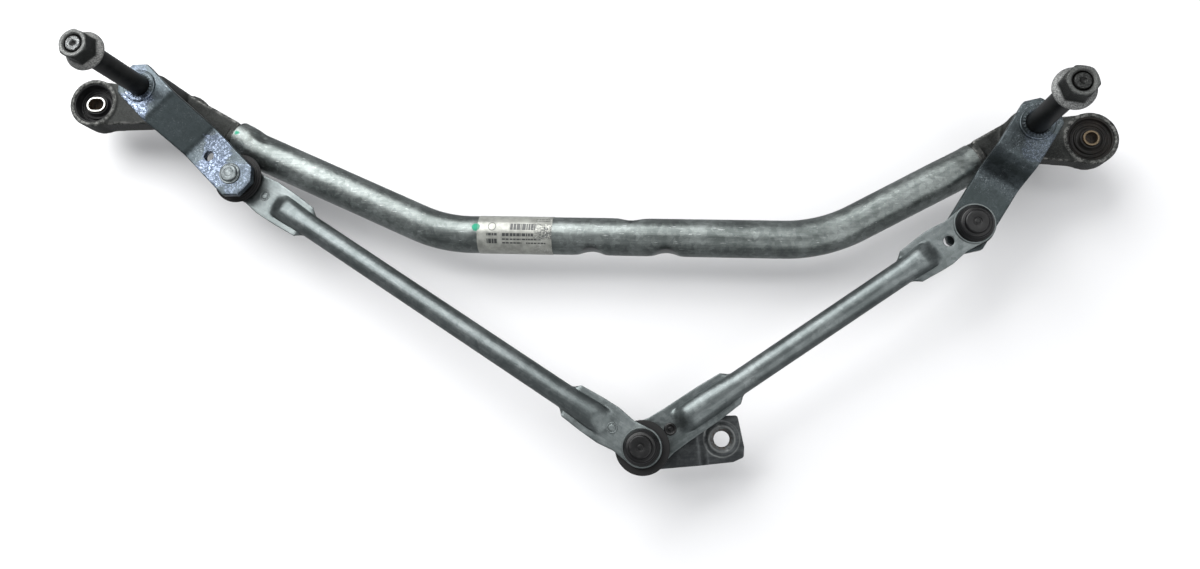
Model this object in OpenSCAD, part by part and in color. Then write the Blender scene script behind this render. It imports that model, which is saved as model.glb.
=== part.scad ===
// Two-arm windshield wiper linkage: tubular frame, two wiper spindles, their levers,
// two link rods and the crank arm that takes the motor shaft.
// Z runs along the spindles. The origin is the centre of the round mounting hole.

/* [Frame tube] */
// Outer diameter of the frame tube
tube_d = 22; // [18:0.5:24]
// Wall thickness of the frame tube
tube_wall = 1.5; // [1:0.1:2]
// Slope of the tube's left leg, in degrees
left_leg_angle = 22.7; // [20:0.1:25]
// Slope of the tube's right leg, in degrees
right_leg_angle = 28.9; // [26:0.1:31]
// Height of the tube's straight middle, along Y
tube_mid_y = -59.8; // [-65:0.1:-55]
// Bend radius on the tube's centre line
tube_bend_r = 85; // [60:1:120]
// Depth of the seat pressed into the tube's upper side for the motor bracket
seat_depth_top = 1.8; // [0.5:0.1:3]
// Depth of the two seats pressed into its lower side
seat_depth_low = 2.8; // [0.5:0.1:4]

/* [Spindles] */
// Left spindle, X
left_spindle_x = -546.4; // [-560:0.1:-530]
// Left spindle, Y
left_spindle_y = 17.4; // [10:0.1:25]
// Right spindle, X
right_spindle_x = -37.4; // [-42:0.1:-34]
// Right spindle, Y
right_spindle_y = 0.2; // [-3:0.1:3]
// Diameter of the spindle shafts
shaft_d = 12; // [10:0.5:13]
// Length of a spindle above its lever
shaft_rise = 62; // [50:1:70]
// Height of the left lever's top face at its root
left_root_z = 40.5; // [38:0.5:44]
// Height of the right lever's top face at its root
right_root_z = 31.5; // [29:0.5:34]

/* [Levers] */
// Left lever, spindle to ball
left_lever_len = 68.8; // [65:0.1:72]
// Right lever, spindle to ball
right_lever_len = 64.2; // [60:0.1:68]
// Direction of the left lever, in degrees
left_lever_angle = -43; // [-46:0.1:-42.5]
// Direction of the right lever, in degrees
right_lever_angle = -120.8; // [-122:0.1:-118]
// Step of the left lever down to its ball end
left_lever_drop = 20; // [19.5:0.5:20.5]
// Step of the right lever down to its ball end
right_lever_drop = 15; // [14:0.5:15.5]
// Width of the levers
lever_w = 24; // [22:0.5:25]
// Thickness of the lever plate
lever_t = 4.5; // [4:0.1:5]

/* [Link rods] */
// Left rod, ball to ball
left_rod_len = 292.3; // [290:0.1:294]
// Right rod, ball to ball
right_rod_len = 216; // [215:0.1:218]
// Width of a rod's pressed channel
channel_w = 13.6; // [12:0.2:15]
// Sheet thickness of the rods
rod_t = 1.6; // [1.2:0.1:2]
// Diameter of the ball studs
ball_d = 13; // [12:0.1:13.2]

/* [Crank] */
// Crank arm, ball stud to motor shaft
crank_len = 43.7; // [41:0.1:46]
// Direction of the crank arm, in degrees
crank_angle = 8.3; // [-30:0.1:30]
// Diameter of the hole for the motor shaft
motor_hole_d = 9; // [8:0.1:10]

/* [Mounting eyes] */
// Left eye centre, X
left_eye_x = -595.7; // [-600:0.1:-590]
// Left eye centre, Y
left_eye_y = 18.1; // [14:0.1:22]
// Outer diameter of the eyes
eye_d = 30.4; // [29:0.2:32]
// Outer diameter of the rubber bushes
bush_d = 25; // [23:0.2:26]
// Diameter of the round mounting hole
mount_hole_d = 6.5; // [6:0.1:7]
// Length of the mounting slot
slot_len = 10; // [9:0.1:11]
// Width of the mounting slot
slot_w = 7.2; // [6.6:0.1:7.4]

/* [Hidden] */
$fn = 64;
eps = 0.01;
// Gap left between two pieces that are pressed together
press_gap = 0.03;

tube_r = tube_d / 2;
bore_r = tube_r - tube_wall;
shaft_r = shaft_d / 2;
ball_r = ball_d / 2;

// Centres of the joints, worked out so that the linkage closes
left_spindle_at = [left_spindle_x, left_spindle_y];
right_spindle_at = [right_spindle_x, right_spindle_y];
left_eye_at = [left_eye_x, left_eye_y];
function along(a, len) = [len * cos(a), len * sin(a)];
left_ball_at = left_spindle_at + along(left_lever_angle, left_lever_len);
right_ball_at = right_spindle_at + along(right_lever_angle, right_lever_len);
// Lower meeting point of two circles about a and b
function meet(a, b, ra, rb) =
    let (d = b - a, span = norm(d), x = (span ^ 2 + ra ^ 2 - rb ^ 2) / (2 * span))
    a + d / span * x + [d[1], -d[0]] / span * sqrt(ra ^ 2 - x ^ 2);
pin_at = meet(left_ball_at, right_ball_at, left_rod_len, right_rod_len);
function bearing_of(a, b) = atan2(b[1] - a[1], b[0] - a[0]);
left_rod_angle = bearing_of(left_ball_at, pin_at);
right_rod_angle = bearing_of(right_ball_at, pin_at);

// Levels
ball_drop = 8.5;
left_ball_z = left_root_z - left_lever_drop - lever_t - ball_drop;
right_ball_z = right_root_z - right_lever_drop + ball_drop + 0.5;
upper_ball_z = 24;
lower_ball_z = 10;
crank_top_z = 1;
crank_t = 4.5;

// Tube corners, where the legs' centre lines meet the middle
left_tube_end = [-502.1, -4.1];
right_tube_end = [-62.7, -13];
left_corner_x = left_tube_end[0] + (left_tube_end[1] - tube_mid_y) / tan(left_leg_angle);
right_corner_x = right_tube_end[0] - (right_tube_end[1] - tube_mid_y) / tan(right_leg_angle);
function bend_reach(a) = tube_bend_r * tan(a / 2);
mid_start_x = left_corner_x + bend_reach(left_leg_angle);
mid_end_x = right_corner_x - bend_reach(right_leg_angle);

// Pressed seats for the motor bracket, [x, side, depth]
seats = [[-257.3, 1, seat_depth_top], [-280.2, -1, seat_depth_low], [-236.4, -1, seat_depth_low]];
seat_r = 11;

// Housings
barrel_r = 12.5;
barrel_bottom_z = -18;
bearing_r = 8;
bearing_gap = 0.05;
bearing_len = 14;
washer_t = 1.2;
play = 0.3;
spigot_len = 26;
eye_r = eye_d / 2;
bush_r = bush_d / 2;
eye_half = 6;
// Top faces of the eyes: the left one stands higher round its bush
left_eye_top = 10;
right_eye_top = 6.5;
sleeve_half = 7;
sleeve_wall = 1.25;

// Nut, M10 with flange
thread_r = 4.9;
nut_bore_r = 5;
nut_af = 15;
nut_h = 12;
nut_flange_r = 10.8;
nut_flange_t = 2.2;

// Sockets and seals
cap_r = 10.2;
cap_h = 8.2;
socket_gap = 0.1;
mouth_r = 5.9;
eye_plate_r = 11.1;
seal_r = 15;
small_seal_r = 11.6;
neck_r = 4;
open_ball_r = 6;
open_bore_r = 10.5;
open_socket_r = 12.6;
open_eye_r = 14.4;
foot_h = 1.5;

module at(p, z = 0, a = 0) {
    translate([p[0], p[1], z]) rotate([0, 0, a]) children();
}

// Lies a piece drawn along +Z down along +X
module lay() {
    rotate([0, 90, 0]) children();
}

module ring(r_out, r_in, h) {
    difference() {
        cylinder(r = r_out, h = h);
        translate([0, 0, -eps]) cylinder(r = r_in, h = h + 2 * eps);
    }
}

// ---- Frame tube ----

// Stations along the tube's centre line, each [x, y, heading in degrees]
bend_steps = 8;
function left_arc(i) = let (a = left_leg_angle * (1 - i / bend_steps))
    [mid_start_x - tube_bend_r * sin(a), tube_mid_y + tube_bend_r * (1 - cos(a)), -a];
function right_arc(i) = let (a = right_leg_angle * i / bend_steps)
    [mid_end_x + tube_bend_r * sin(a), tube_mid_y + tube_bend_r * (1 - cos(a)), a];
function leg_end(p, heading, extra) = concat(p + along(heading, extra), heading);
function tube_stations(extra) = [
    leg_end(left_tube_end, -left_leg_angle, -extra),
    for (i = [0:bend_steps]) left_arc(i),
    for (i = [0:bend_steps]) right_arc(i),
    leg_end(right_tube_end, right_leg_angle, extra)
];

// Round bar of radius r along the tube's centre line, longer by extra at both ends
module tube_path(r, extra = 0) {
    sides = 40;
    stations = tube_stations(extra);
    last = len(stations) - 1;
    points = [
        for (s = stations, k = [0:sides - 1])
            let (a = 360 * k / sides)
            [s[0] - r * cos(a) * sin(s[2]), s[1] + r * cos(a) * cos(s[2]), r * sin(a)]
    ];
    walls = [
        for (i = [0:last - 1], k = [0:sides - 1])
            let (n = (k + 1) % sides)
            [i * sides + k, (i + 1) * sides + k, (i + 1) * sides + n, i * sides + n]
    ];
    caps = [[for (k = [0:sides - 1]) k], [for (k = [sides - 1:-1:0]) last * sides + k]];
    polyhedron(points, concat(walls, caps));
}

// The press tools that dent the tube, grown by the wall on the inside
module seat_tools(grow) {
    for (s = seats)
        translate([s[0], tube_mid_y + s[1] * (tube_r + seat_r - s[2]), -tube_r - 1])
            cylinder(r = seat_r + grow, h = 2 * tube_r + 2);
}

module frame_tube() {
    color([0.63, 0.66, 0.67]) difference() {
        tube_path(tube_r);
        seat_tools(0);
        difference() {
            tube_path(bore_r, 1);
            seat_tools(tube_wall);
        }
    }
}

label_len = 44;
label_start_x = -346.7;
label_t = 0.2;
label_wrap = 200;

module rating_label() {
    color([0.82, 0.83, 0.82]) translate([label_start_x, tube_mid_y, 0]) rotate([90 - label_wrap / 2, 0, 0])
        rotate([0, 90, 0]) rotate([0, 0, 90]) rotate_extrude(angle = label_wrap)
            translate([tube_r + 0.02, 0]) square([label_t, label_len]);
}

// ---- Pivot housings ----

// A die-cast housing about its spindle at the origin, with its eye along eye_vec and
// the tube's end at tube_vec, sloping at tube_angle
module pivot_housing(top_z, eye_vec, eye_top, tube_vec, tube_angle) {
    eye_len = norm(eye_vec);
    arm_len = norm(tube_vec);
    arm_angle = bearing_of([0, 0], tube_vec);
    foot_r = barrel_r + 2;
    taper_h = 8;
    difference() {
        union() {
            translate([0, 0, barrel_bottom_z]) cylinder(r = barrel_r, h = top_z - taper_h - barrel_bottom_z);
            translate([0, 0, barrel_bottom_z]) cylinder(r = foot_r, h = 4);
            translate([0, 0, top_z - taper_h]) cylinder(r1 = barrel_r, r2 = barrel_r - 2, h = taper_h);
            rotate([0, 0, bearing_of([0, 0], eye_vec)]) eye_arm(eye_len, eye_top - 1.2);
            translate([eye_vec[0], eye_vec[1], -eye_half]) cylinder(r = eye_r, h = eye_top + eye_half);
            rotate([0, 0, arm_angle]) tube_arm(arm_len);
            translate([tube_vec[0], tube_vec[1], 0]) rotate([0, 0, tube_angle]) spigot();
        }
        translate([0, 0, barrel_bottom_z - 1]) cylinder(r = bearing_r, h = top_z - barrel_bottom_z + 2);
        translate([eye_vec[0], eye_vec[1], -eye_half - 1]) cylinder(r = bush_r, h = eye_top + eye_half + 2);
        rotate([0, 0, bearing_of([0, 0], eye_vec)]) eye_arm_pockets(eye_len);
    }
}

// Tapered arm from the barrel to the eye, up to top
module eye_arm(len, top) {
    root = barrel_r - 1;
    tip = eye_r - 1;
    bottom = -5.2;
    translate([0, 0, bottom]) linear_extrude(top - bottom)
        polygon([[0, -root], [0, root], [len, tip], [len, -tip]]);
}

// Round lightening pocket in the arm's underside, between the barrel and the eye
module eye_arm_pockets(len) {
    pocket_r = 4;
    pocket_x = (barrel_r + len - eye_r) / 2;
    translate([pocket_x, 0, -6]) cylinder(r = pocket_r, h = 6);
}

// Spigot that fills the tube's end, with a shoulder that the tube butts against
module spigot() {
    shoulder_len = 4;
    translate([-shoulder_len - 0.2, 0, 0]) lay() cylinder(r = tube_r - 0.3, h = shoulder_len);
    translate([-shoulder_len, 0, 0]) lay() cylinder(r = bore_r - 0.1, h = spigot_len + shoulder_len);
}

// Ribbed bar from the barrel to the spigot
module tube_arm(len) {
    web_half = 2.2;
    rib_t = 3;
    rib_z = 7.2;
    rib_root = 11.8;
    rib_tip = 10.2;
    reach = len - 2;
    linear_extrude(2 * rib_z - rib_t + 1, center = true)
        polygon([[0, -web_half], [0, web_half], [reach, web_half], [reach, -web_half]]);
    for (side = [-1, 1])
        translate([0, 0, side * rib_z])
            linear_extrude(rib_t, center = true)
                polygon([[0, -rib_root], [0, rib_root], [reach, rib_tip], [reach, -rib_tip]]);
}

housing_color = [0.30, 0.31, 0.29];
left_barrel_top = left_root_z - lever_t - play - washer_t;
right_barrel_top = right_root_z - lever_t - play - washer_t;

module left_pivot_housing() {
    color(housing_color) at(left_spindle_at)
        pivot_housing(left_barrel_top, left_eye_at - left_spindle_at, left_eye_top,
            left_tube_end - left_spindle_at, -left_leg_angle);
}

module right_pivot_housing() {
    color(housing_color) at(right_spindle_at)
        pivot_housing(right_barrel_top, -right_spindle_at, right_eye_top,
            right_tube_end - right_spindle_at, 180 + right_leg_angle);
}

// ---- Rubber mounts ----

// Half section of a rubber bush: thick at the sleeve and the eye, thin between.
// rim is the height of its outer rim.
module bush_section(inner_r, rim) {
    polygon([
        [0, -sleeve_half + 1], [inner_r + 2.4, -sleeve_half + 1], [inner_r + 3.4, -4], [bush_r - 3, -3.4],
        [bush_r - 2, -5], [bush_r, -5], [bush_r, rim], [bush_r - 2, rim],
        [bush_r - 3, 3.4], [inner_r + 3.4, 4], [inner_r + 2.4, sleeve_half - 1], [0, sleeve_half - 1]
    ]);
}

module slot_shape(len, w) {
    for (side = [-1, 1]) translate([side * (len - w) / 2, 0]) circle(d = w);
    square([len - w, w], center = true);
}

module left_mount_bush() {
    color([0.07, 0.07, 0.07]) at(left_eye_at) difference() {
        rotate_extrude() bush_section(slot_w / 2 + sleeve_wall + 1, left_eye_top - 0.7);
        linear_extrude(3 * sleeve_half, center = true)
            slot_shape(slot_len + 2 * sleeve_wall, slot_w + 2 * sleeve_wall);
    }
}

module right_mount_bush() {
    color([0.07, 0.07, 0.07]) difference() {
        rotate_extrude() bush_section(mount_hole_d / 2 + sleeve_wall, right_eye_top - 0.7);
        cylinder(r = mount_hole_d / 2 + sleeve_wall, h = 3 * sleeve_half, center = true);
    }
}

module left_bush_sleeve() {
    color([0.75, 0.75, 0.73]) at(left_eye_at) linear_extrude(2 * sleeve_half, center = true)
        difference() {
            slot_shape(slot_len + 2 * sleeve_wall, slot_w + 2 * sleeve_wall);
            slot_shape(slot_len, slot_w);
        }
}

module right_bush_sleeve() {
    color([0.6, 0.56, 0.48]) translate([0, 0, -sleeve_half])
        ring(mount_hole_d / 2 + sleeve_wall, mount_hole_d / 2, 2 * sleeve_half);
}

// ---- Spindle bearings, seals and washers ----

module spindle_bearings(top_z) {
    seal_room = 3;
    color([0.55, 0.45, 0.28])
        for (z = [barrel_bottom_z, top_z - seal_room - bearing_len])
            translate([0, 0, z]) ring(bearing_r, shaft_r + bearing_gap, bearing_len);
}

module shaft_seal(top_z) {
    seal_h = 2.4;
    color([0.08, 0.08, 0.08]) translate([0, 0, top_z - seal_h - 0.2])
        ring(bearing_r - 0.05, shaft_r + bearing_gap, seal_h);
}

module thrust_washer(top_z) {
    color([0.85, 0.83, 0.75]) translate([0, 0, top_z]) ring(barrel_r - 2, shaft_r + bearing_gap, washer_t);
}

module left_spindle_bearings() { at(left_spindle_at) spindle_bearings(left_barrel_top); }
module right_spindle_bearings() { at(right_spindle_at) spindle_bearings(right_barrel_top); }
module left_shaft_seal() { at(left_spindle_at) shaft_seal(left_barrel_top); }
module right_shaft_seal() { at(right_spindle_at) shaft_seal(right_barrel_top); }
module left_thrust_washer() { at(left_spindle_at) thrust_washer(left_barrel_top); }
module right_thrust_washer() { at(right_spindle_at) thrust_washer(right_barrel_top); }

// ---- Spindles ----

circlip_z = barrel_bottom_z - 3;
circlip_t = 1.2;
groove_r = shaft_r - 0.8;
spindle_bottom_z = circlip_z - circlip_t - 3;

module spindle(root_z) {
    tip_z = root_z + shaft_rise;
    thread_len = nut_h + 1.5;
    chamfer = 1;
    color([0.08, 0.08, 0.08]) difference() {
        union() {
            translate([0, 0, spindle_bottom_z])
                cylinder(r = shaft_r, h = tip_z - thread_len - spindle_bottom_z);
            translate([0, 0, tip_z - thread_len - eps])
                cylinder(r = thread_r, h = thread_len - chamfer + eps);
            translate([0, 0, tip_z - chamfer]) cylinder(r1 = thread_r, r2 = thread_r - chamfer, h = chamfer);
        }
        translate([0, 0, circlip_z - circlip_t - 0.1])
            ring(shaft_r + 1, groove_r - press_gap, circlip_t + 0.2);
        translate([0, 0, tip_z - 2]) cylinder(r1 = 0.4, r2 = 1.6, h = 2 + eps);
    }
}

module spindle_nut(root_z) {
    base_z = root_z + shaft_rise - nut_h + 0.4;
    corner_r = nut_af / 2 / cos(30);
    color([0.35, 0.35, 0.34]) translate([0, 0, base_z]) difference() {
        union() {
            cylinder(r = nut_flange_r, h = 1.2);
            translate([0, 0, 1.2]) cylinder(r1 = nut_flange_r, r2 = corner_r - 0.6, h = nut_flange_t);
            intersection() {
                cylinder(r = corner_r, h = nut_h, $fn = 6);
                union() {
                    cylinder(r = corner_r + 1, h = nut_h - 1.4);
                    translate([0, 0, nut_h - 1.4]) cylinder(r1 = corner_r + 0.1, r2 = nut_af / 2 - 0.3, h = 1.4);
                }
            }
        }
        translate([0, 0, -eps]) cylinder(r = nut_bore_r, h = nut_h + 2 * eps);
        translate([0, 0, nut_h - 0.8]) cylinder(r1 = nut_bore_r, r2 = nut_bore_r + 0.8 + eps, h = 0.8 + eps);
    }
}

// Open ring that holds the spindle from below
module circlip() {
    gap_w = 5;
    clip_r = shaft_r + 2.6;
    color([0.2, 0.2, 0.2]) translate([0, 0, circlip_z - circlip_t]) difference() {
        ring(clip_r, groove_r, circlip_t);
        translate([0, -gap_w / 2, -1]) cube([clip_r + 1, gap_w, circlip_t + 2]);
    }
}

module spring_washer() {
    color([0.6, 0.6, 0.6]) translate([0, 0, circlip_z + 0.02]) ring(shaft_r + 3.4, shaft_r + 0.1, 1.8);
}

module left_spindle() { at(left_spindle_at) spindle(left_root_z); }
module right_spindle() { at(right_spindle_at) spindle(right_root_z); }
module left_spindle_nut() { at(left_spindle_at, 0, 8) spindle_nut(left_root_z); }
module right_spindle_nut() { at(right_spindle_at, 0, 20) spindle_nut(right_root_z); }
module left_circlip() { at(left_spindle_at, 0, 200) circlip(); }
module right_circlip() { at(right_spindle_at, 0, 40) circlip(); }
module left_spring_washer() { at(left_spindle_at) spring_washer(); }
module right_spring_washer() { at(right_spindle_at) spring_washer(); }

// ---- Levers ----

lever_tail = 13.5;
lever_nose = 13;
collar_r = 9.8;
collar_h = 1.3;

// Plan of a lever along +X, octagonal at both ends
module lever_plan(len) {
    half = lever_w / 2;
    cut = 6.5;
    polygon([
        [-lever_tail, -half + cut], [-lever_tail + cut, -half],
        [len + lever_nose - cut, -half], [len + lever_nose, -half + cut],
        [len + lever_nose, half - cut], [len + lever_nose - cut, half],
        [-lever_tail + cut, half], [-lever_tail, half - cut]
    ]);
}

// Side view of a lever, stepping down by drop between x1 and x2
module lever_side(len, drop, x1, x2) {
    lean = atan2(drop, x2 - x1) / 2;
    shift = lever_t * tan(lean);
    far = len + lever_nose + 1;
    near = -lever_tail - 1;
    polygon([
        [near, 0], [x1, 0], [x2, -drop], [far, -drop], [far, -drop - lever_t],
        [x2 - shift, -drop - lever_t], [x1 - shift, -lever_t], [near, -lever_t]
    ]);
}

// A lever with its top face at the root on z = 0
module lever(len, drop, x1, x2, stud_hole_r) {
    difference() {
        union() {
            intersection() {
                translate([0, 0, -60]) linear_extrude(100) lever_plan(len);
                translate([0, lever_w, 0]) rotate([90, 0, 0])
                    linear_extrude(2 * lever_w) lever_side(len, drop, x1, x2);
            }
            cylinder(r1 = collar_r, r2 = collar_r - 0.5, h = collar_h);
        }
        translate([0, 0, -lever_t - 1]) cylinder(r = shaft_r + press_gap, h = lever_t + collar_h + 2);
        translate([len, 0, -drop - lever_t - 1]) cylinder(r = stud_hole_r, h = lever_t + 2);
    }
}

stud_hole_r = 4.5;
lever_color = [0.62, 0.66, 0.70];

module left_lever() {
    hole_at = [51.1, -2];
    hole_r = 2.9;
    color(lever_color) at(left_spindle_at, left_root_z, left_lever_angle) difference() {
        lever(left_lever_len, left_lever_drop, 18, 39.3, stud_hole_r);
        translate([hole_at[0], hole_at[1], -left_lever_drop - lever_t - 1]) cylinder(r = hole_r, h = lever_t + 2);
    }
}

module right_lever() {
    color(lever_color) at(right_spindle_at, right_root_z, right_lever_angle)
        lever(right_lever_len, right_lever_drop, 21.7, 32.3, stud_hole_r);
}

// ---- Ball studs ----

// A ball stud standing on the plate face at z = 0, riveted over behind the plate
module ball_stud(ball_z, plate_t, head_r) {
    head_h = 2.4;
    dome_r = (head_r ^ 2 + head_h ^ 2) / (2 * head_h);
    cylinder(r = neck_r, h = ball_z);
    cylinder(r = neck_r + 3, h = foot_h);
    translate([0, 0, ball_z]) sphere(r = ball_r);
    translate([0, 0, -plate_t]) cylinder(r = stud_hole_r - press_gap, h = plate_t + eps);
    intersection() {
        translate([0, 0, -plate_t - head_h]) cylinder(r = head_r, h = head_h + eps);
        translate([0, 0, -plate_t - head_h + dome_r]) sphere(r = dome_r);
    }
}

stud_color = [0.7, 0.72, 0.74];

module left_ball_stud() {
    color(stud_color) at(left_ball_at, left_root_z - left_lever_drop - lever_t)
        mirror([0, 0, 1]) ball_stud(ball_drop, lever_t, 6.4);
}

module right_ball_stud() {
    color(stud_color) at(right_ball_at, right_root_z - right_lever_drop)
        ball_stud(ball_drop + 0.5, lever_t, 6.4);
}

// Upper ball for the left rod, lower ball for the right rod, foot riveted into the crank
module double_ball_stud() {
    color(stud_color) at(pin_at) {
        translate([0, 0, upper_ball_z]) sphere(r = ball_r);
        translate([0, 0, lower_ball_z]) sphere(r = open_ball_r);
        translate([0, 0, crank_top_z]) cylinder(r = neck_r, h = upper_ball_z - crank_top_z);
        translate([0, 0, crank_top_z]) cylinder(r = neck_r + 3, h = foot_h);
        translate([0, 0, crank_top_z - crank_t]) cylinder(r = stud_hole_r - press_gap, h = crank_t + eps);
        translate([0, 0, crank_top_z - crank_t - 2]) cylinder(r1 = 5.4, r2 = 6.4, h = 2 + eps);
    }
}

// ---- Link rods ----

// A rod along +X between two ball centres. Each end has a flat pad with a round eye;
// flare gives how far each pad reaches, ridge where the channel's crown starts and ends.
module rod_body(len, flare, ridge, eyes, holes, pips) {
    half_c = channel_w / 2;
    half_pad = 11.3;
    crown_r = half_c;
    hollow_r = crown_r - rod_t;
    taper = 12;
    difference() {
        union() {
            linear_extrude(rod_t, center = true) {
                circle(r = eyes[0]);
                translate([len, 0]) circle(r = eyes[1]);
                rod_pad(flare[0], eyes[0], half_pad, half_c);
                translate([len, 0]) mirror([1, 0]) rod_pad(flare[1], eyes[1], half_pad, half_c);
                translate([flare[0] - 2, -half_c]) square([len - flare[0] - flare[1] + 4, channel_w]);
            }
            intersection() {
                translate([0, -half_c, 0]) cube([len, channel_w, channel_w]);
                channel_bar(len, ridge, crown_r, taper, 0);
            }
            socket_rim(eyes[0], 0);
            socket_rim(eyes[1], len);
            for (x = pips) translate([x, 0, 0]) cylinder(r1 = 3.2, r2 = 2.4, h = rod_t);
        }
        channel_bar(len, ridge, hollow_r, taper, rod_t);
        translate([0, 0, -4]) cylinder(r = eyes[0] - 1.9, h = 10);
        translate([len, 0, -4]) cylinder(r = eyes[1] - 1.9, h = 10);
        for (x = holes) translate([x, 0, -2]) cylinder(r = 2.9, h = 4);
    }
}

// Thin raised rim round a socket eye
module socket_rim(r, x) {
    translate([x, 0, -rod_t / 2]) ring(r, r - 1, 2.4);
}

// Half-round crown of the channel with tapered ends
module channel_bar(len, ridge, r, taper, inset) {
    x0 = ridge[0] + inset;
    x1 = len - ridge[1] - inset;
    tip = 0.45;
    translate([x0 + taper, 0, 0]) lay() cylinder(r = r, h = x1 - x0 - 2 * taper);
    translate([x0, 0, 0]) lay() cylinder(r1 = r * tip, r2 = r, h = taper);
    translate([x1 - taper, 0, 0]) lay() cylinder(r1 = r, r2 = r * tip, h = taper);
}

// Flat pad from the eye to its shoulders, then in to the channel's width
module rod_pad(reach, eye, half_pad, half_c) {
    neck_x = 12;
    polygon([
        [0, -eye], [0, eye], [neck_x, half_pad - 1.4], [neck_x + 10, half_pad],
        [reach - 4, half_pad - 0.6], [reach, half_c], [reach, -half_c],
        [reach - 4, 0.6 - half_pad], [neck_x + 10, -half_pad], [neck_x, 1.4 - half_pad]
    ]);
}

// Puts a rod's own axis from ball a to ball b, with Z kept upright across it
module between(a, za, b, zb) {
    run = norm(b - a);
    translate([a[0], a[1], za]) rotate([0, 0, bearing_of(a, b)]) rotate([0, -atan2(zb - za, run), 0])
        children();
}

module on_left_rod() { between(left_ball_at, left_ball_z, pin_at, upper_ball_z) children(); }
module on_right_rod() { between(right_ball_at, right_ball_z, pin_at, lower_ball_z) children(); }
left_rod_span = norm([left_rod_len, upper_ball_z - left_ball_z]);
right_rod_span = norm([right_rod_len, right_ball_z - lower_ball_z]);
rod_color = [0.60, 0.63, 0.63];

module left_rod() {
    color(rod_color) on_left_rod()
        rod_body(left_rod_span, [56, 51], [30, 24], [eye_plate_r, eye_plate_r], [],
            [20.3, left_rod_span - 19.3]);
}

module right_rod() {
    color(rod_color) on_right_rod()
        rod_body(right_rod_span, [45.5, 63], [26, 24], [eye_plate_r, open_eye_r],
            [16.4, right_rod_span - 18.2], []);
}

// Plastic ball socket with its cap on +Z and its mouth on -Z, ball centre at the origin
module ball_socket() {
    body_r = eye_plate_r - 2;
    rim_z = rod_t / 2 + 0.05;
    color([0.05, 0.05, 0.05]) difference() {
        union() {
            translate([0, 0, -3.6]) cylinder(r = body_r, h = 3.6 + rim_z);
            translate([0, 0, rim_z]) cylinder(r = eye_plate_r - 1.1, h = 1.6);
            translate([0, 0, rim_z + 1.6]) cylinder(r1 = eye_plate_r - 1.1, r2 = 8.6, h = 2.2);
            translate([0, 0, rim_z + 3.8]) cylinder(r = 8.6, h = 1.6);
            translate([0, 0, rim_z + 5.4]) cylinder(r1 = 6.6, r2 = 6.1, h = 2.3);
            translate([0, 0, rim_z + 5.4 - eps]) cylinder(r1 = 8.6, r2 = 7.8, h = 0.8);
        }
        sphere(r = ball_r + socket_gap);
        translate([0, 0, -4]) cylinder(r = mouth_r, h = 4);
    }
}

// Rubber seal of radius r on the mouth side of a socket, round the stud's neck
module mouth_seal(r) {
    hole_r = 5.7;
    color([0.04, 0.04, 0.04]) difference() {
        union() {
            translate([0, 0, -3.7]) cylinder(r1 = r - 1.2, r2 = r, h = 1.4);
            translate([0, 0, -5.6]) cylinder(r1 = 7.4, r2 = r - 2, h = 2);
        }
        translate([0, 0, -6]) cylinder(r = hole_r, h = 6);
        translate([0, 0, -3.65]) cylinder(r = eye_plate_r - 1.95, h = 4);
    }
}

module left_rod_outer_socket() { on_left_rod() mirror([0, 0, 1]) ball_socket(); }
module left_rod_centre_socket() { on_left_rod() translate([left_rod_span, 0, 0]) ball_socket(); }
module right_rod_outer_socket() { on_right_rod() ball_socket(); }
module left_rod_outer_seal() { on_left_rod() mirror([0, 0, 1]) mouth_seal(seal_r); }
module left_rod_centre_seal() { on_left_rod() translate([left_rod_span, 0, 0]) mouth_seal(seal_r); }
module right_rod_outer_seal() { on_right_rod() mouth_seal(small_seal_r); }

// Open collar for the lower ball, wide enough for the ball to wander in it
module right_rod_centre_socket() {
    color([0.05, 0.05, 0.05]) on_right_rod() translate([right_rod_span, 0, -4]) ring(open_eye_r - 1.9, open_bore_r, 8.4);
}

module right_rod_centre_seal() {
    color([0.04, 0.04, 0.04]) on_right_rod() translate([right_rod_span, 0, -5.6]) difference() {
        cylinder(r1 = seal_r - 1.6, r2 = seal_r, h = 3.4);
        translate([0, 0, 1.6]) cylinder(r = open_eye_r - 1.85, h = 4);
        translate([0, 0, -1]) cylinder(r = open_bore_r - 1, h = 4);
    }
}

module right_rod_plug() {
    plug_r = 2.85;
    color([0.06, 0.06, 0.06]) on_right_rod() translate([right_rod_span - 18.2, 0, -2]) {
        cylinder(r = plug_r, h = 2 + rod_t / 2);
        translate([0, 0, 2 + rod_t / 2]) cylinder(r1 = 3.6, r2 = 3, h = 0.9);
    }
}

// ---- Crank arm ----

// Plan of the crank, round about the stud and square about the motor shaft
module crank_plan() {
    circle(r = 12.8);
    polygon([
        [0, -12.8], [0, 12.8], [crank_len - 10, 12.9], [crank_len + 1.5, 12.9],
        [crank_len + 10.5, 12.1], [crank_len + 12, -5.7], [crank_len + 11, -11.4],
        [crank_len + 5, -13.4], [crank_len - 11.8, -13.4]
    ]);
}

// Side view of the crank, stepping down to the motor shaft's seat
module crank_side() {
    step = 3;
    x1 = crank_len - 13.2;
    x2 = crank_len - 9.3;
    shift = crank_t * tan(atan2(step, x2 - x1) / 2);
    far = crank_len + 20;
    polygon([
        [-20, 0], [x1, 0], [x2, -step], [far, -step], [far, -step - crank_t],
        [x2 - shift, -step - crank_t], [x1 - shift, -crank_t], [-20, -crank_t]
    ]);
}

crank_seat_z = crank_top_z - 3;

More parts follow.
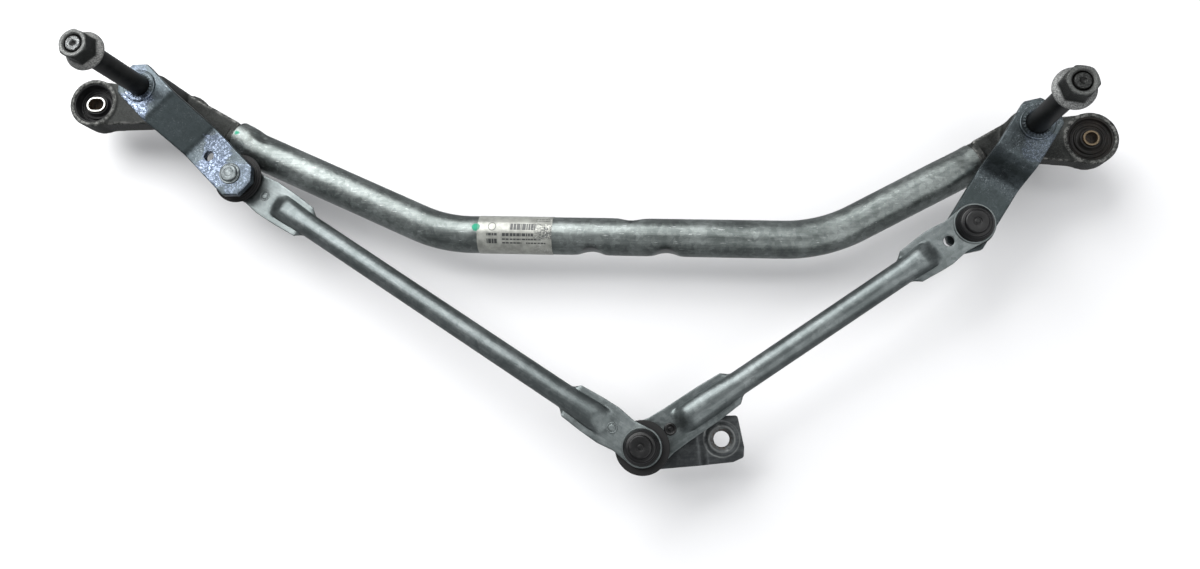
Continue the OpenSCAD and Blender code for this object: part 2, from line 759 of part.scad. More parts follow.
module crank_arm() {
    boss_r = 8;
    boss_h = 0.9;
    color([0.33, 0.34, 0.34]) at(pin_at, crank_top_z, crank_angle) difference() {
        union() {
            intersection() {
                translate([0, 0, -20]) linear_extrude(40) crank_plan();
                translate([0, 20, 0]) rotate([90, 0, 0]) linear_extrude(40) crank_side();
            }
            translate([crank_len, 0, -3 - eps]) ring(boss_r, boss_r - 1.6, boss_h);
        }
        translate([0, 0, -crank_t - 1]) cylinder(r = stud_hole_r, h = crank_t + 2);
        translate([crank_len, 0, -3 - crank_t - 1]) cylinder(d = motor_hole_d, h = crank_t + 3);
    }
}

frame_tube();
rating_label();
left_pivot_housing();
right_pivot_housing();
left_mount_bush();
right_mount_bush();
left_bush_sleeve();
right_bush_sleeve();
left_spindle_bearings();
right_spindle_bearings();
left_shaft_seal();
right_shaft_seal();
left_thrust_washer();
right_thrust_washer();
left_spindle();
left_lever();
left_spindle_nut();
left_ball_stud();
left_circlip();
left_spring_washer();
right_spindle();
right_lever();
right_spindle_nut();
right_ball_stud();
right_circlip();
right_spring_washer();
left_rod();
left_rod_outer_socket();
left_rod_centre_socket();
left_rod_outer_seal();
left_rod_centre_seal();
right_rod();
right_rod_outer_socket();
right_rod_centre_socket();
right_rod_outer_seal();
right_rod_centre_seal();
right_rod_plug();
crank_arm();
double_ball_stud();
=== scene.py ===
from functools import reduce
from math import atan2, ceil, cos, hypot, pi, radians, sin, sqrt, tan

import bmesh
import bpy
import numpy as np
from mathutils import Matrix, Vector
from mathutils.geometry import delaunay_2d_cdt


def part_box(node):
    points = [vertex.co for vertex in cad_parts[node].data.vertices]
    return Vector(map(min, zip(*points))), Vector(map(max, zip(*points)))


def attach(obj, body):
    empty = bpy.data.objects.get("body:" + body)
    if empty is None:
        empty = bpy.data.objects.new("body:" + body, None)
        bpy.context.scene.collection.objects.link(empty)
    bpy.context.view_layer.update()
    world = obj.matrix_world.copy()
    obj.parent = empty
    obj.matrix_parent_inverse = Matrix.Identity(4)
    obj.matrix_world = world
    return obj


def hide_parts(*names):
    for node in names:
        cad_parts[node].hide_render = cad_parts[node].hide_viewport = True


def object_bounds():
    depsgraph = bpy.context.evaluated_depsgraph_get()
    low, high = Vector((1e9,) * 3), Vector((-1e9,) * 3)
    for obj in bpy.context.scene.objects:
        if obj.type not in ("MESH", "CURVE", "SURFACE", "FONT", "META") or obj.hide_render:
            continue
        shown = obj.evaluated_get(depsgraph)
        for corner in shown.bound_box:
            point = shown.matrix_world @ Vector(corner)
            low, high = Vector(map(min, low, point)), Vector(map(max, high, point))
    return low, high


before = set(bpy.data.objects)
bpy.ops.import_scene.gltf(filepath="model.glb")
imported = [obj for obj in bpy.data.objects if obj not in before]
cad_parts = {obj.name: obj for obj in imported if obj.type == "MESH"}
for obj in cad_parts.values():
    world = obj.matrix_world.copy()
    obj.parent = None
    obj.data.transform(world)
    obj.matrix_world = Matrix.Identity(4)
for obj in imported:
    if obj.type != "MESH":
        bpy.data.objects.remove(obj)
cad_box = [[float(v) for v in corner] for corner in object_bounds()]

MM = 0.001

# ---------------------------------------------------------------- places, in millimetres


def corners(node):
    low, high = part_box(node)
    return np.array(low, float) / MM, np.array(high, float) / MM


def centre(node):
    low, high = corners(node)
    return (low + high) / 2


BALL_R = 5.5
OPEN_BALL_R = 6.0
BALL_SPACING = 14.0
left_spindle = centre("left_spindle")[:2]
right_spindle = centre("right_spindle")[:2]
left_eye = centre("left_bush_sleeve")[:2]
right_eye = centre("right_bush_sleeve")[:2]
left_ball = np.append(centre("left_ball_stud")[:2], corners("left_ball_stud")[0][2] + BALL_R)
right_ball = np.append(centre("right_ball_stud")[:2], corners("right_ball_stud")[1][2] - BALL_R)
upper_ball = np.append(centre("double_ball_stud")[:2], corners("double_ball_stud")[1][2] - BALL_R)
lower_ball = upper_ball - [0, 0, BALL_SPACING]
LEFT_ROOT_Z = 40.5
RIGHT_ROOT_Z = 31.5
CRANK_TOP_Z = 1.0
CRANK_T = 4.5
LEVER_T = 4.5
# How far each lever steps down from its spindle to its stud
LEFT_DROP, RIGHT_DROP = 20.0, 15.0


def bearing(a, b):
    return atan2(b[1] - a[1], b[0] - a[0])


def upright(at, z=0.0, turn=0.0):
    """Frame of a piece that stands on z, turned about Z."""
    return Matrix.Translation((at[0], at[1], z)) @ Matrix.Rotation(turn, 4, "Z")


def between(a, b):
    """Frame with X from one ball centre to the other, and Z kept upright across it."""
    run = hypot(b[0] - a[0], b[1] - a[1])
    tilt = -atan2(b[2] - a[2], run)
    return upright(a, a[2], bearing(a, b)) @ Matrix.Rotation(tilt, 4, "Y")


left_turn = bearing(left_spindle, left_ball)
right_turn = bearing(right_spindle, right_ball)
left_lever_frame = upright(left_spindle, LEFT_ROOT_Z, left_turn)
right_lever_frame = upright(right_spindle, RIGHT_ROOT_Z, right_turn)
left_rod_frame = between(left_ball, upper_ball)
right_rod_frame = between(right_ball, lower_ball)
left_lever_len = float(np.linalg.norm(left_ball[:2] - left_spindle))
right_lever_len = float(np.linalg.norm(right_ball[:2] - right_spindle))
left_rod_span = float(np.linalg.norm(upper_ball - left_ball))
right_rod_span = float(np.linalg.norm(lower_ball - right_ball))
FLIP = Matrix.Scale(-1, 4, (0, 0, 1))

# ---------------------------------------------------------------- finishes


class Port:
    """An output of a finish's nodes. Arithmetic on it adds Math nodes."""

    def __init__(self, finish, socket):
        self.finish, self.socket = finish, socket

    def math(self, operation, *values):
        return self.finish.node("ShaderNodeMath", {"operation": operation}, values)

    def __add__(self, other):
        return self.math("ADD", self, other)

    def __sub__(self, other):
        return self.math("SUBTRACT", self, other)

    def __rsub__(self, other):
        return self.math("SUBTRACT", other, self)

    def __mul__(self, other):
        return self.math("MULTIPLY", self, other)

    def __truediv__(self, other):
        return self.math("DIVIDE", self, other)

    def __abs__(self):
        return self.math("ABSOLUTE", self)

    __radd__, __rmul__ = __add__, __mul__

    def most(self, other):
        return self.math("MAXIMUM", self, other)

    def root(self):
        return self.math("SQRT", self)

    def step(self, low, high):
        """0 below low, 1 above high and smooth between; reversed when low is over high."""
        if low > high:
            return 1 - self.step(high, low)
        ends = {"Value": self, "From Min": low, "From Max": high}
        return self.finish.node("ShaderNodeMapRange", {"interpolation_type": "SMOOTHSTEP"}, ends)

    def band(self, low, high, soft):
        return self.step(low - soft, low + soft) * self.step(high + soft, high - soft)


class Finish:
    """A procedural material: one Principled shader and the nodes that feed it."""

    def __init__(self, name, **fixed):
        self.material = bpy.data.materials.new(name)
        self.material.use_nodes = True
        self.nodes = self.material.node_tree.nodes
        self.links = self.material.node_tree.links
        self.shader = self.nodes["Principled BSDF"]
        self.feed(**fixed)
        self.place = self.node("ShaderNodeTexCoord", {}, {}, "Object")

    def node(self, kind, settings, values, out=0):
        made = self.nodes.new(kind)
        for key, value in settings.items():
            setattr(made, key, value)
        pairs = values.items() if isinstance(values, dict) else enumerate(values)
        for key, value in pairs:
            if isinstance(value, Port):
                self.links.new(value.socket, made.inputs[key])
            else:
                made.inputs[key].default_value = value
        return Port(self, made.outputs[out])

    def feed(self, **sockets):
        for key, value in sockets.items():
            socket = self.shader.inputs[key.replace("_", " ")]
            if isinstance(value, Port):
                self.links.new(value.socket, socket)
            else:
                socket.default_value = value

    def vector(self, operation, a, b):
        return self.node("ShaderNodeVectorMath", {"operation": operation}, [a, b])

    def spread(self, stretch):
        """Object coordinates scaled along each axis."""
        return self.vector("MULTIPLY", self.place, stretch)

    def turned(self, angle, stretch, origin=(0, 0, 0)):
        """Coordinates in metres from origin, turned by angle about Z and then stretched."""
        values = {"Vector": self.vector("SUBTRACT", self.place, origin), "Angle": -angle}
        turned = self.node("ShaderNodeVectorRotate", {"rotation_type": "Z_AXIS"}, values)
        return self.vector("MULTIPLY", turned, stretch)

    def noise(self, scale, detail, rough, at=None):
        values = {"Vector": at or self.place, "Scale": scale, "Detail": detail, "Roughness": rough}
        return self.node("ShaderNodeTexNoise", {"noise_dimensions": "3D"}, values)

    def cells(self, scale, out):
        return self.node("ShaderNodeTexVoronoi", {}, {"Vector": self.place, "Scale": scale}, out)

    def axes(self, at=None):
        split = self.node("ShaderNodeSeparateXYZ", {}, [at or self.place])
        return [Port(self, split.socket.node.outputs[k]) for k in range(3)]

    def distance(self, point):
        return self.node("ShaderNodeVectorMath", {"operation": "DISTANCE"}, [self.place, point], "Value")

    def blend(self, factor, a, b):
        values = {0: factor, 6: as_colour(a), 7: as_colour(b)}
        return self.node("ShaderNodeMix", {"data_type": "RGBA"}, values, 2)

    def base(self, factor, dark, light):
        """Starts the colour with a mix of two shades."""
        self.shade = self.blend(factor, dark, light)

    def coat(self, factor, colour):
        """Lays a colour over what is there, as far as factor."""
        self.shade = self.blend(factor, self.shade, colour)

    def close(self, **sockets):
        """Feeds the colour and any other sockets, and gives the material."""
        self.feed(Base_Color=self.shade, **sockets)
        return self.material

    def bump(self, height, strength, depth):
        values = {"Strength": strength, "Distance": depth, "Height": height}
        self.feed(Normal=self.node("ShaderNodeBump", {}, values))

    def edge_wear(self, low, high):
        """1 on the convex edges of a dense mesh."""
        return self.node("ShaderNodeNewGeometry", {}, {}, "Pointiness").step(low, high)


def as_colour(value):
    return value if isinstance(value, Port) else (*value, 1)


GREEN_PAINT = (0.005, 0.11, 0.065)


def zinc(name, dark, light, lay, rough, spangle):
    """Zinc-plated or galvanised steel: soft spangle, drawing marks along lay, and dirt."""
    steel = Finish(name, Metallic=0.93)
    cloud = steel.noise(45, 5, 0.6)
    drawn = steel.noise(1, 3, 0.6, at=steel.turned(lay, (60, 900, 900)))
    flake = steel.axes(steel.cells(420, "Color"))[0]
    fine = steel.noise(1500, 2, 0.7)
    tone = (cloud * 0.9 + drawn * 0.35 + flake * 0.22 * spangle + fine * 0.18 - 0.42).step(0.12, 0.98)
    steel.base(tone, dark, light)
    dirt = steel.noise(130, 6, 0.7).step(0.60, 0.74) * cloud.step(0.40, 0.62)
    steel.coat(dirt * 0.55, (0.055, 0.06, 0.055))
    steel.feed(Roughness=rough[0] + (rough[1] - rough[0]) * tone + dirt * 0.25)
    steel.bump(fine * 0.5 + drawn * 0.35 + cloud * 0.9 + dirt * 0.5, 0.35, 0.00022)
    return steel


def tube_finish():
    """Galvanised tube, grimy at its ends, with painted shade in its seats, and two spots of green paint."""
    steel = zinc("galvanised_tube", (0.095, 0.108, 0.104), (0.33, 0.36, 0.35), 0.0, (0.34, 0.48), 0.8)
    x, _, z = steel.axes()
    ragged = steel.noise(600, 3, 0.6) * 0.0016
    ends = (x.step(-0.468, -0.505) * 0.8).most(x.step(-0.095, -0.065) * 0.35)
    grime = ends * steel.noise(170, 6, 0.75).step(0.42, 0.60)
    steel.coat(grime * 0.75, (0.05, 0.05, 0.045))
    # Painted shade: each seat's hollow is darkened round its bottom, where shade falls.
    for seat_x, side, depth in SEATS:
        bottom = (seat_x * MM, (TUBE_MID_Y + side * (TUBE_R - depth)) * MM, 0.004)
        gap = steel.distance(bottom) + ragged * 2
        steel.coat(gap.step(0.0085, 0.0040) * 0.85, (0.022, 0.024, 0.023))
    marks = steel.noise(1, 4, 0.7, at=steel.spread((120, 1400, 1400)))
    steel.coat(marks.step(0.64, 0.70) * z.step(0.004, 0.009) * 0.6, (0.80, 0.82, 0.82))
    for point, radius in ((LABEL_PAINT, 0.0028), (END_PAINT, 0.0024)):
        spot = (steel.distance(point) + ragged).step(radius + 0.0009, radius + 0.0001)
        steel.coat(spot * 0.92, GREEN_PAINT)
    return steel.close()


def lever_finish(name, spindle, turn, slope, marks, light):
    """Zinc on a cranked plate, with painted shade on its slope, darker towards its stud end, and freckled
    with bright crystals.

    slope is where the painted shade band on the slope starts and ends along the lever, then where the
    darkening towards the stud end starts and ends, and marks are patches of blue-grey bloom as ((along,
    across), reach, strength)."""
    steel = zinc(name, tuple(v * 0.30 for v in light), light, turn, (0.36, 0.52), 0.9)
    origin = (spindle[0] * MM, spindle[1] * MM, 0)
    along, across, _ = steel.axes(steel.turned(turn, (1, 1, 1), origin))
    freckle = steel.noise(1500, 3, 0.8).step(0.52, 0.66) * steel.noise(120, 4, 0.7).step(0.44, 0.60)
    steel.coat(freckle * 0.5, (0.36, 0.40, 0.43))
    pitted = steel.noise(800, 3, 0.8).step(0.55, 0.68)
    steel.coat(pitted * 0.55, (0.018, 0.022, 0.024))
    first, last, low, high = (v * MM for v in slope)
    # Painted shade on the slope, which faces away from the light, and darker from low to high towards the
    # stud end.
    slope_shade_and_dark_end = along.band(first, last, 0.0012).most(along.step(low, high))
    steel.coat(slope_shade_and_dark_end * 0.66, (0.030, 0.038, 0.038))
    speckle = steel.noise(760, 4, 0.95).step(0.50, 0.60)
    patch = steel.noise(60, 4, 0.65)
    for (mark_x, mark_y), reach, strength in marks:
        dx, dy = along - mark_x * MM, across - mark_y * MM
        gap = (dx * dx + dy * dy).root() + (patch - 0.5) * 0.026
        zone = gap.step(reach * MM * 1.1, reach * MM * 0.85) * strength
        steel.coat(zone * 0.75, (0.050, 0.064, 0.094))
        steel.coat(zone * speckle, (0.40, 0.47, 0.60))
    return steel.close()


def rod_finish(name, turn):
    return zinc(name, (0.085, 0.098, 0.098), (0.25, 0.275, 0.275), turn, (0.36, 0.50), 0.7).close()


def crank_finish():
    """Dark zinc, rusty round the shaft hole, where two rings are rubbed bright."""
    steel = zinc("crank_steel", (0.035, 0.038, 0.040), (0.15, 0.16, 0.16), 0.1, (0.34, 0.52), 0.5)
    gap = steel.distance((CRANK_HOLE[0] * MM, CRANK_HOLE[1] * MM, -2 * MM))
    rust = gap.step(0.0075, 0.0045) * steel.noise(500, 4, 0.7).step(0.4, 0.62)
    steel.coat(rust * 0.75, (0.035, 0.022, 0.012))
    rubbed = gap.band(0.0068, 0.0078, 0.0004) + gap.band(0.0098, 0.0104, 0.0004)
    steel.coat(rubbed * 0.3, (0.30, 0.31, 0.30))
    return steel.close()


def casting_finish():
    """Die-cast alloy: dull, grainy, rubbed bright on its edges."""
    metal = Finish("die_cast_housing", Metallic=0.72)
    cloud = metal.noise(60, 5, 0.6)
    grain = metal.noise(1100, 4, 0.8)
    tone = (cloud * 0.6 + grain * 0.9 - 0.3).step(0.25, 0.62)
    metal.base(tone, (0.007, 0.0078, 0.007), (0.036, 0.038, 0.036))
    rubbed = metal.edge_wear(0.503, 0.535) * metal.noise(420, 4, 0.8).step(0.42, 0.60)
    metal.coat(rubbed * 0.65, (0.19, 0.19, 0.18))
    soot = metal.noise(110, 5, 0.7).step(0.55, 0.72)
    metal.coat(soot * 0.6, (0.010, 0.0105, 0.009))
    metal.bump(grain + cloud * 0.8, 0.6, 0.0003)
    return metal.close(Roughness=0.5 + tone * 0.14 - rubbed * 0.14)


def rubber(name, dust, dark):
    soft = Finish(name, Specular_IOR_Level=0.25)
    film = soft.noise(95, 5, 0.7).step(0.46, 0.72)
    speck = soft.noise(1700, 3, 0.8).step(0.56, 0.70)
    soft.base(film * 0.35 + speck * 0.12, dark, dust)
    soft.bump(soft.noise(900, 3, 0.6) + film * 0.4, 0.25, 0.0002)
    return soft.close(Roughness=0.52 + film * 0.28)


def moulded_plastic():
    hard = Finish("black_plastic", Specular_IOR_Level=0.30, Coat_Weight=0.05, Coat_Roughness=0.25)
    film = hard.noise(160, 5, 0.7).step(0.5, 0.75)
    scratch = hard.noise(1, 3, 0.6, at=hard.turned(0.6, (160, 2600, 900))).step(0.60, 0.68)
    hard.base(film * 0.35 + scratch * 0.25, (0.0022, 0.0022, 0.0024), (0.012, 0.012, 0.012))
    hard.bump(hard.noise(700, 3, 0.6) + scratch * 0.3, 0.12, 0.00015)
    return hard.close(Roughness=0.30 + film * 0.26)


def spindle_finish(name, tip_z, end_bright):
    """Black oxide on turned steel; the cut end is freckled where the oxide was rubbed off."""
    steel = Finish(name, Metallic=0.75)
    z = steel.axes()[2]
    film = steel.noise(120, 5, 0.7)
    ring_marks = steel.noise(1, 2, 0.6, at=steel.spread((40, 40, 2200)))
    dusty = film.step(0.42, 0.70) * 0.6 + ring_marks * 0.2
    steel.base(dusty, (0.006, 0.006, 0.006), (0.022, 0.023, 0.022))
    end = z.step((tip_z - 1.0) * MM, (tip_z - 0.3) * MM)
    speck = steel.noise(1500, 4, 0.8).step(0.44, 0.60)
    steel.coat(end * speck, end_bright)
    steel.bump(film + ring_marks * 0.5 + end * speck, 0.2, 0.00015)
    return steel.close(Roughness=0.34 + film * 0.24)


def nut_finish(name, base_z, top_z, face, flange, flank):
    """Phosphated nut: dark flanks, with painted highlights, speckled by grain, on the up-facing flange and
    top face.
    """
    steel = Finish(name, Metallic=0.8)
    z = steel.axes()[2]
    cloud = steel.noise(260, 5, 0.7)
    grain = steel.noise(1500, 4, 0.85).step(0.40, 0.62)
    steel.base(cloud.step(0.35, 0.7) * 0.6 + grain * 0.4, flank, tuple(2.3 * v + 0.004 for v in flank))
    # Painted highlight: the up-facing flange and top face are lightened, speckled by grain.
    low = z.step((base_z + 3.6) * MM, (base_z + 2.6) * MM)
    steel.coat(low * (0.25 + grain * 0.75), flange)
    high = z.step((top_z - 0.9) * MM, (top_z - 0.15) * MM)
    steel.coat(high * (0.3 + grain * 0.7), face)
    rub = steel.edge_wear(0.52, 0.60) * cloud.step(0.4, 0.6)
    steel.coat(rub * 0.4, (0.30, 0.30, 0.29))
    steel.bump(grain + cloud * 0.6, 0.35, 0.0002)
    return steel.close(Roughness=0.38 + cloud * 0.22)


def plain_metal(name, dark, light, rough):
    metal = Finish(name, Metallic=0.9)
    cloud = metal.noise(300, 5, 0.7)
    metal.base(cloud.step(0.32, 0.68), dark, light)
    metal.bump(metal.noise(1500, 3, 0.7) + cloud, 0.25, 0.00015)
    return metal.close(Roughness=rough + cloud * 0.15)


def sleeve_finish(name, rim_shade):
    """Steel sleeve: worn end faces, which a light rim_shade also paints as a highlight, above a bore that is
    brown with old grease and rust.
    """
    steel = Finish(name, Metallic=0.85)
    z = steel.axes()[2]
    rust = steel.noise(420, 5, 0.75).step(0.35, 0.68)
    steel.base(rust, (0.020, 0.014, 0.009), (0.13, 0.085, 0.045))
    # The end faces take rim_shade: worn steel, and where rim_shade is light, a painted highlight as well.
    rim = abs(z).step((SLEEVE_HALF - 0.22) * MM, (SLEEVE_HALF - 0.06) * MM) * (1 - rust * 0.35)
    steel.coat(rim, rim_shade)
    steel.bump(rust, 0.3, 0.00015)
    return steel.close(Roughness=0.55 - rim * 0.25)


# Printed bars: from and to along the label, as shares of its length, and from and to round the tube
LABEL_BARS = [(0.43, 0.78, 0.08, 0.44), (0.34, 0.76, -0.26, -0.10), (0.34, 0.86, -0.46, -0.38),
              (0.34, 0.60, -0.66, -0.58), (0.66, 0.92, -0.66, -0.58), (0.13, 0.27, -0.24, -0.10),
              (0.78, 0.96, 0.62, 0.67), (0.78, 0.96, 0.78, 0.83), (0.13, 0.27, -0.66, -0.40)]


def label_finish():
    """Silver film with plain printed bars, rubbed through at its right end."""
    film = Finish("label")
    low, high = (float(corner[0] * MM) for corner in corners("rating_label"))
    x, y, z = film.axes()
    run = (x - low) / (high - low)
    turn = y.math("ARCTAN2", y - TUBE_MID_Y * MM, z)
    cloud = film.noise(200, 4, 0.6)
    film.base(cloud.step(0.3, 0.7), (0.21, 0.215, 0.195), (0.34, 0.345, 0.315))
    bars = [run.band(x0, x1, 0.004) * turn.band(t0, t1, 0.012) for x0, x1, t0, t1 in LABEL_BARS]
    lines = {"W": x, "Scale": 620}
    gaps = film.node("ShaderNodeTexVoronoi", {"voronoi_dimensions": "1D"}, lines, "Distance")
    ring_x, ring_turn = run - 0.20, turn - 0.26
    ring_gap = (ring_x * ring_x * 19.4 + ring_turn * ring_turn).root()
    ink = (reduce(Port.most, bars) * gaps.step(0.07, 0.13)).most(ring_gap.band(0.20, 0.24, 0.015))
    film.coat(ink * 0.94, (0.016, 0.018, 0.019))
    worn = run.step(0.70, 0.86) * turn.band(-0.40, 0.46, 0.10) * film.noise(520, 4, 0.85).step(0.44, 0.52)
    film.coat(worn * 0.9, (0.045, 0.048, 0.048))
    flecks = run.step(0.6, 1.0) * film.noise(900, 3, 0.8).step(0.60, 0.68)
    film.coat(flecks * 0.8, (0.85, 0.86, 0.86))
    spot = (film.distance(LABEL_PAINT) + film.noise(600, 3, 0.6) * 0.0016).step(0.0037, 0.0029)
    film.coat(spot * 0.92, GREEN_PAINT)
    film.bump(cloud + worn * 0.8, 0.2, 0.00012)
    return film.close(Roughness=0.30 + worn * 0.3, Metallic=0.4 - ink * 0.3)


# ---------------------------------------------------------------- mesh making

# Points nearer than this, in metres, are one
WELD = 2e-6


def merged(shells):
    """Several shells of (points, faces) as one."""
    points, faces = [], []
    for shell_points, shell_faces in shells:
        base = len(points)
        points.extend(tuple(p) for p in shell_points)
        faces.extend([k + base for k in face] for face in shell_faces)
    return points, faces


def placed(shell, matrix):
    return [matrix @ Vector(p) for p in shell[0]], shell[1]


def make_piece(name, shells, at, body, material, node, sharp=32):
    """One closed mesh from shells of (points in mm, faces), set at a frame, with outward faces."""
    mesh = bpy.data.meshes.new(name)
    points, faces = placed(merged(shells), at)
    mesh.from_pydata([p * MM for p in points], [], faces)
    bm = bmesh.new()
    bm.from_mesh(mesh)
    bmesh.ops.remove_doubles(bm, verts=bm.verts, dist=WELD)
    bmesh.ops.dissolve_degenerate(bm, edges=bm.edges, dist=1e-7)
    bmesh.ops.recalc_face_normals(bm, faces=bm.faces)
    bm.to_mesh(mesh)
    bm.free()
    mesh.shade_smooth()
    mesh.set_sharp_from_angle(angle=radians(sharp))
    mesh.materials.append(material)
    register(linked(name, mesh), body, node)


def linked(name, data):
    made = bpy.data.objects.new(name, data)
    bpy.context.collection.objects.link(made)
    return made


def shaped_mesh(maker):
    """The mesh that an object's modifiers give; the object itself goes."""
    made = bpy.data.meshes.new_from_object(maker.evaluated_get(bpy.context.evaluated_depsgraph_get()))
    bpy.data.objects.remove(maker)
    return made


def register(piece, body, node):
    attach(piece, body)
    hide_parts(node)


def loft(rings, ring_loop=True, path_loop=False):
    """Skin over rings of points. ring_loop joins each ring to itself, path_loop joins last to first."""
    count = len(rings[0])
    points = [tuple(p) for ring in rings for p in ring]
    faces = []
    for i in range(len(rings) if path_loop else len(rings) - 1):
        j = (i + 1) % len(rings)
        for k in range(count if ring_loop else count - 1):
            n = (k + 1) % count
            faces.append((i * count + k, i * count + n, j * count + n, j * count + k))
    return points, faces


def spun(section_at, sides, closed=True):
    """Skin over half sections of (radius, height), one at each angle about Z."""
    rings = []
    for k in range(sides):
        a = 2 * pi * k / sides
        rings.append([(r * cos(a), r * sin(a), z) for r, z in section_at(a)])
    return loft(rings, closed, path_loop=True)


def round_corners(loop, radius, closed=True, steps=4):
    """A polyline with its corners turned to small arcs."""
    out = []
    total = len(loop)
    for i, point in enumerate(loop):
        here = np.array(point, float)
        if not closed and i in (0, total - 1):
            out.append(tuple(here))
            continue
        before, after = np.array(loop[i - 1], float), np.array(loop[(i + 1) % total], float)
        a, b = before - here, after - here
        la, lb = np.linalg.norm(a), np.linalg.norm(b)
        if la < 1e-6 or lb < 1e-6:
            continue
        a, b = a / la, b / lb
        turn = np.arccos(np.clip(-np.dot(a, b), -1, 1))
        if turn < 0.12:
            out.append(tuple(here))
            continue
        reach = min(radius * tan(turn / 2), la * 0.45, lb * 0.45)
        start, end = here + a * reach, here + b * reach
        for k in range(steps + 1):
            t = k / steps
            out.append(tuple((1 - t) ** 2 * start + 2 * t * (1 - t) * here + t ** 2 * end))
    return out


def lathe(profile, radius, closed, sides):
    """Turned shape from (radius, height) pairs, its corners rounded by radius."""
    smooth = round_corners(profile, radius, closed)
    return spun(lambda a: smooth, sides, closed)


def dense(loop, spacing):
    """A closed outline with a point at least every spacing."""
    out = []
    for i, point in enumerate(loop):
        a, b = np.array(point, float), np.array(loop[(i + 1) % len(loop)], float)
        parts = max(1, ceil(np.linalg.norm(b - a) / spacing))
        out.extend(a + (b - a) * k / parts for k in range(parts))
    return np.array(out)


def ring_of(x, y, r, spacing=0.9):
    count = max(20, ceil(2 * pi * r / spacing))
    return [(x + r * cos(2 * pi * k / count), y + r * sin(2 * pi * k / count)) for k in range(count)]


def inside(points, loop):
    x, y = points[:, 0], points[:, 1]
    hit = np.zeros(len(points), bool)
    for a, b in zip(loop, np.roll(loop, -1, axis=0)):
        crosses = (a[1] > y) != (b[1] > y)
        if a[1] != b[1]:
            hit ^= crosses & (x < (b[0] - a[0]) * (y - a[1]) / (b[1] - a[1]) + a[0])
    return hit


def nearest(points, loop):
    gap = np.full(len(points), 1e9)
    for start in range(0, len(points), 4000):
        part = points[start:start + 4000]
        gap[start:start + 4000] = np.sqrt(((part[:, None] - loop[None]) ** 2).sum(2)).min(1)
    return gap


def pressed_sheet(outline, holes, thick, form, grid, edge, spacing):
    """A plate cut to outline with holes and pressed to a form: form(x, y) is its top face.

    The rim is rounded by edge, on the outline and round each hole."""
    loops = []
    for k, loop in enumerate([outline, *holes]):
        loop = dense(loop, spacing)
        area = np.sum(loop[:, 0] * np.roll(loop[:, 1], -1) - np.roll(loop[:, 0], -1) * loop[:, 1])
        if (area < 0) == (k == 0):
            loop = loop[::-1]
        along = np.roll(loop, -1, axis=0) - np.roll(loop, 1, axis=0)
        along /= np.linalg.norm(along, axis=1)[:, None]
        loops.append((loop, np.stack([along[:, 1], -along[:, 0]], 1)))
    inset = [loop - out * edge for loop, out in loops]

    def within(points):
        held = inside(points, inset[0])
        for loop in inset[1:]:
            held &= ~inside(points, loop)
        return held

    low, high = loops[0][0].min(0), loops[0][0].max(0)
    xs = np.arange(low[0] + grid[0] / 2, high[0], grid[0])
    ys = np.linspace(low[1], high[1], max(3, int((high[1] - low[1]) / grid[1]) | 1))
    cloud = np.array([(x, y) for x in xs for y in ys])
    cloud = cloud[within(cloud)]
    for loop in inset:
        cloud = cloud[nearest(cloud, loop) > 0.55 * min(grid)]
    flat = np.vstack([*inset, cloud])
    edges, base = [], 0
    for loop in inset:
        edges += [(base + k, base + (k + 1) % len(loop)) for k in range(len(loop))]
        base += len(loop)
    made = delaunay_2d_cdt([Vector(p) for p in flat], edges, [], 0, 1e-7)
    flat = np.array([tuple(p) for p in made[0]])
    triangles = np.array([f for f in made[2] if len(f) == 3])
    triangles = triangles[within(flat[triangles].mean(1))]

    def lift(points, depth):
        step = 0.05
        x, y = points[:, 0], points[:, 1]
        here = form(x, y)
        dx = form(x + step, y) - form(x - step, y)
        dy = form(x, y + step) - form(x, y - step)
        out = np.cross(dx, dy)
        out /= np.linalg.norm(out, axis=1)[:, None]
        return here - out * depth

    shells = [(lift(flat, 0.0), triangles.tolist()), (lift(flat, thick), triangles[:, ::-1].tolist())]
    for loop, out in loops:
        quarter = [pi / 2 * k / 3 for k in range(4)]
        rim = [(sin(a), edge * (1 - cos(a))) for a in quarter]
        rim += [(reach, thick - depth) for reach, depth in reversed(rim)]
        shells.append(loft([lift(loop - out * edge * (1 - reach), depth) for reach, depth in rim]))
    return merged(shells)


def smoothstep(value, low, high):
    t = np.clip((value - low) / (high - low), 0, 1)
    return t * t * (3 - 2 * t)


# ---------------------------------------------------------------- frame tube

TUBE_R = 11.0
TUBE_WALL = 1.5
TUBE_LIP = 0.35
TUBE_LEFT = np.array([-502.1, -4.1])
TUBE_RIGHT = np.array([-62.7, -13.0])
TUBE_MID_Y = float(centre("rating_label")[1])
TUBE_LEFT_ANGLE, TUBE_RIGHT_ANGLE = radians(22.7), radians(28.9)
TUBE_BEND_R = 85.0
SEAT_R = 11.0
# Seats for the motor bracket: place along X, side, depth
SEATS = [(-257.3, 1, 1.8), (-280.2, -1, 2.8), (-236.4, -1, 2.8)]
# Crimps that hold the tube on its spigots: left end or right, distance in, direction round the tube, depth
CRIMPS = [(0, 17.0, 0.75, 1.7), (0, 13.0, 2.7, 1.1), (0, 20.0, -0.5, 0.9), (1, 13.0, 0.45, 1.0),
          (1, 13.0, 2.6, 1.0), (1, 20.0, -0.6, 0.9)]
# How far the left end's upper side is belled out
FLARE = 2.0
LABEL_PAINT = (-0.3475, -0.0575, 0.0106)
END_PAINT = (-0.499, -0.0015, 0.0100)


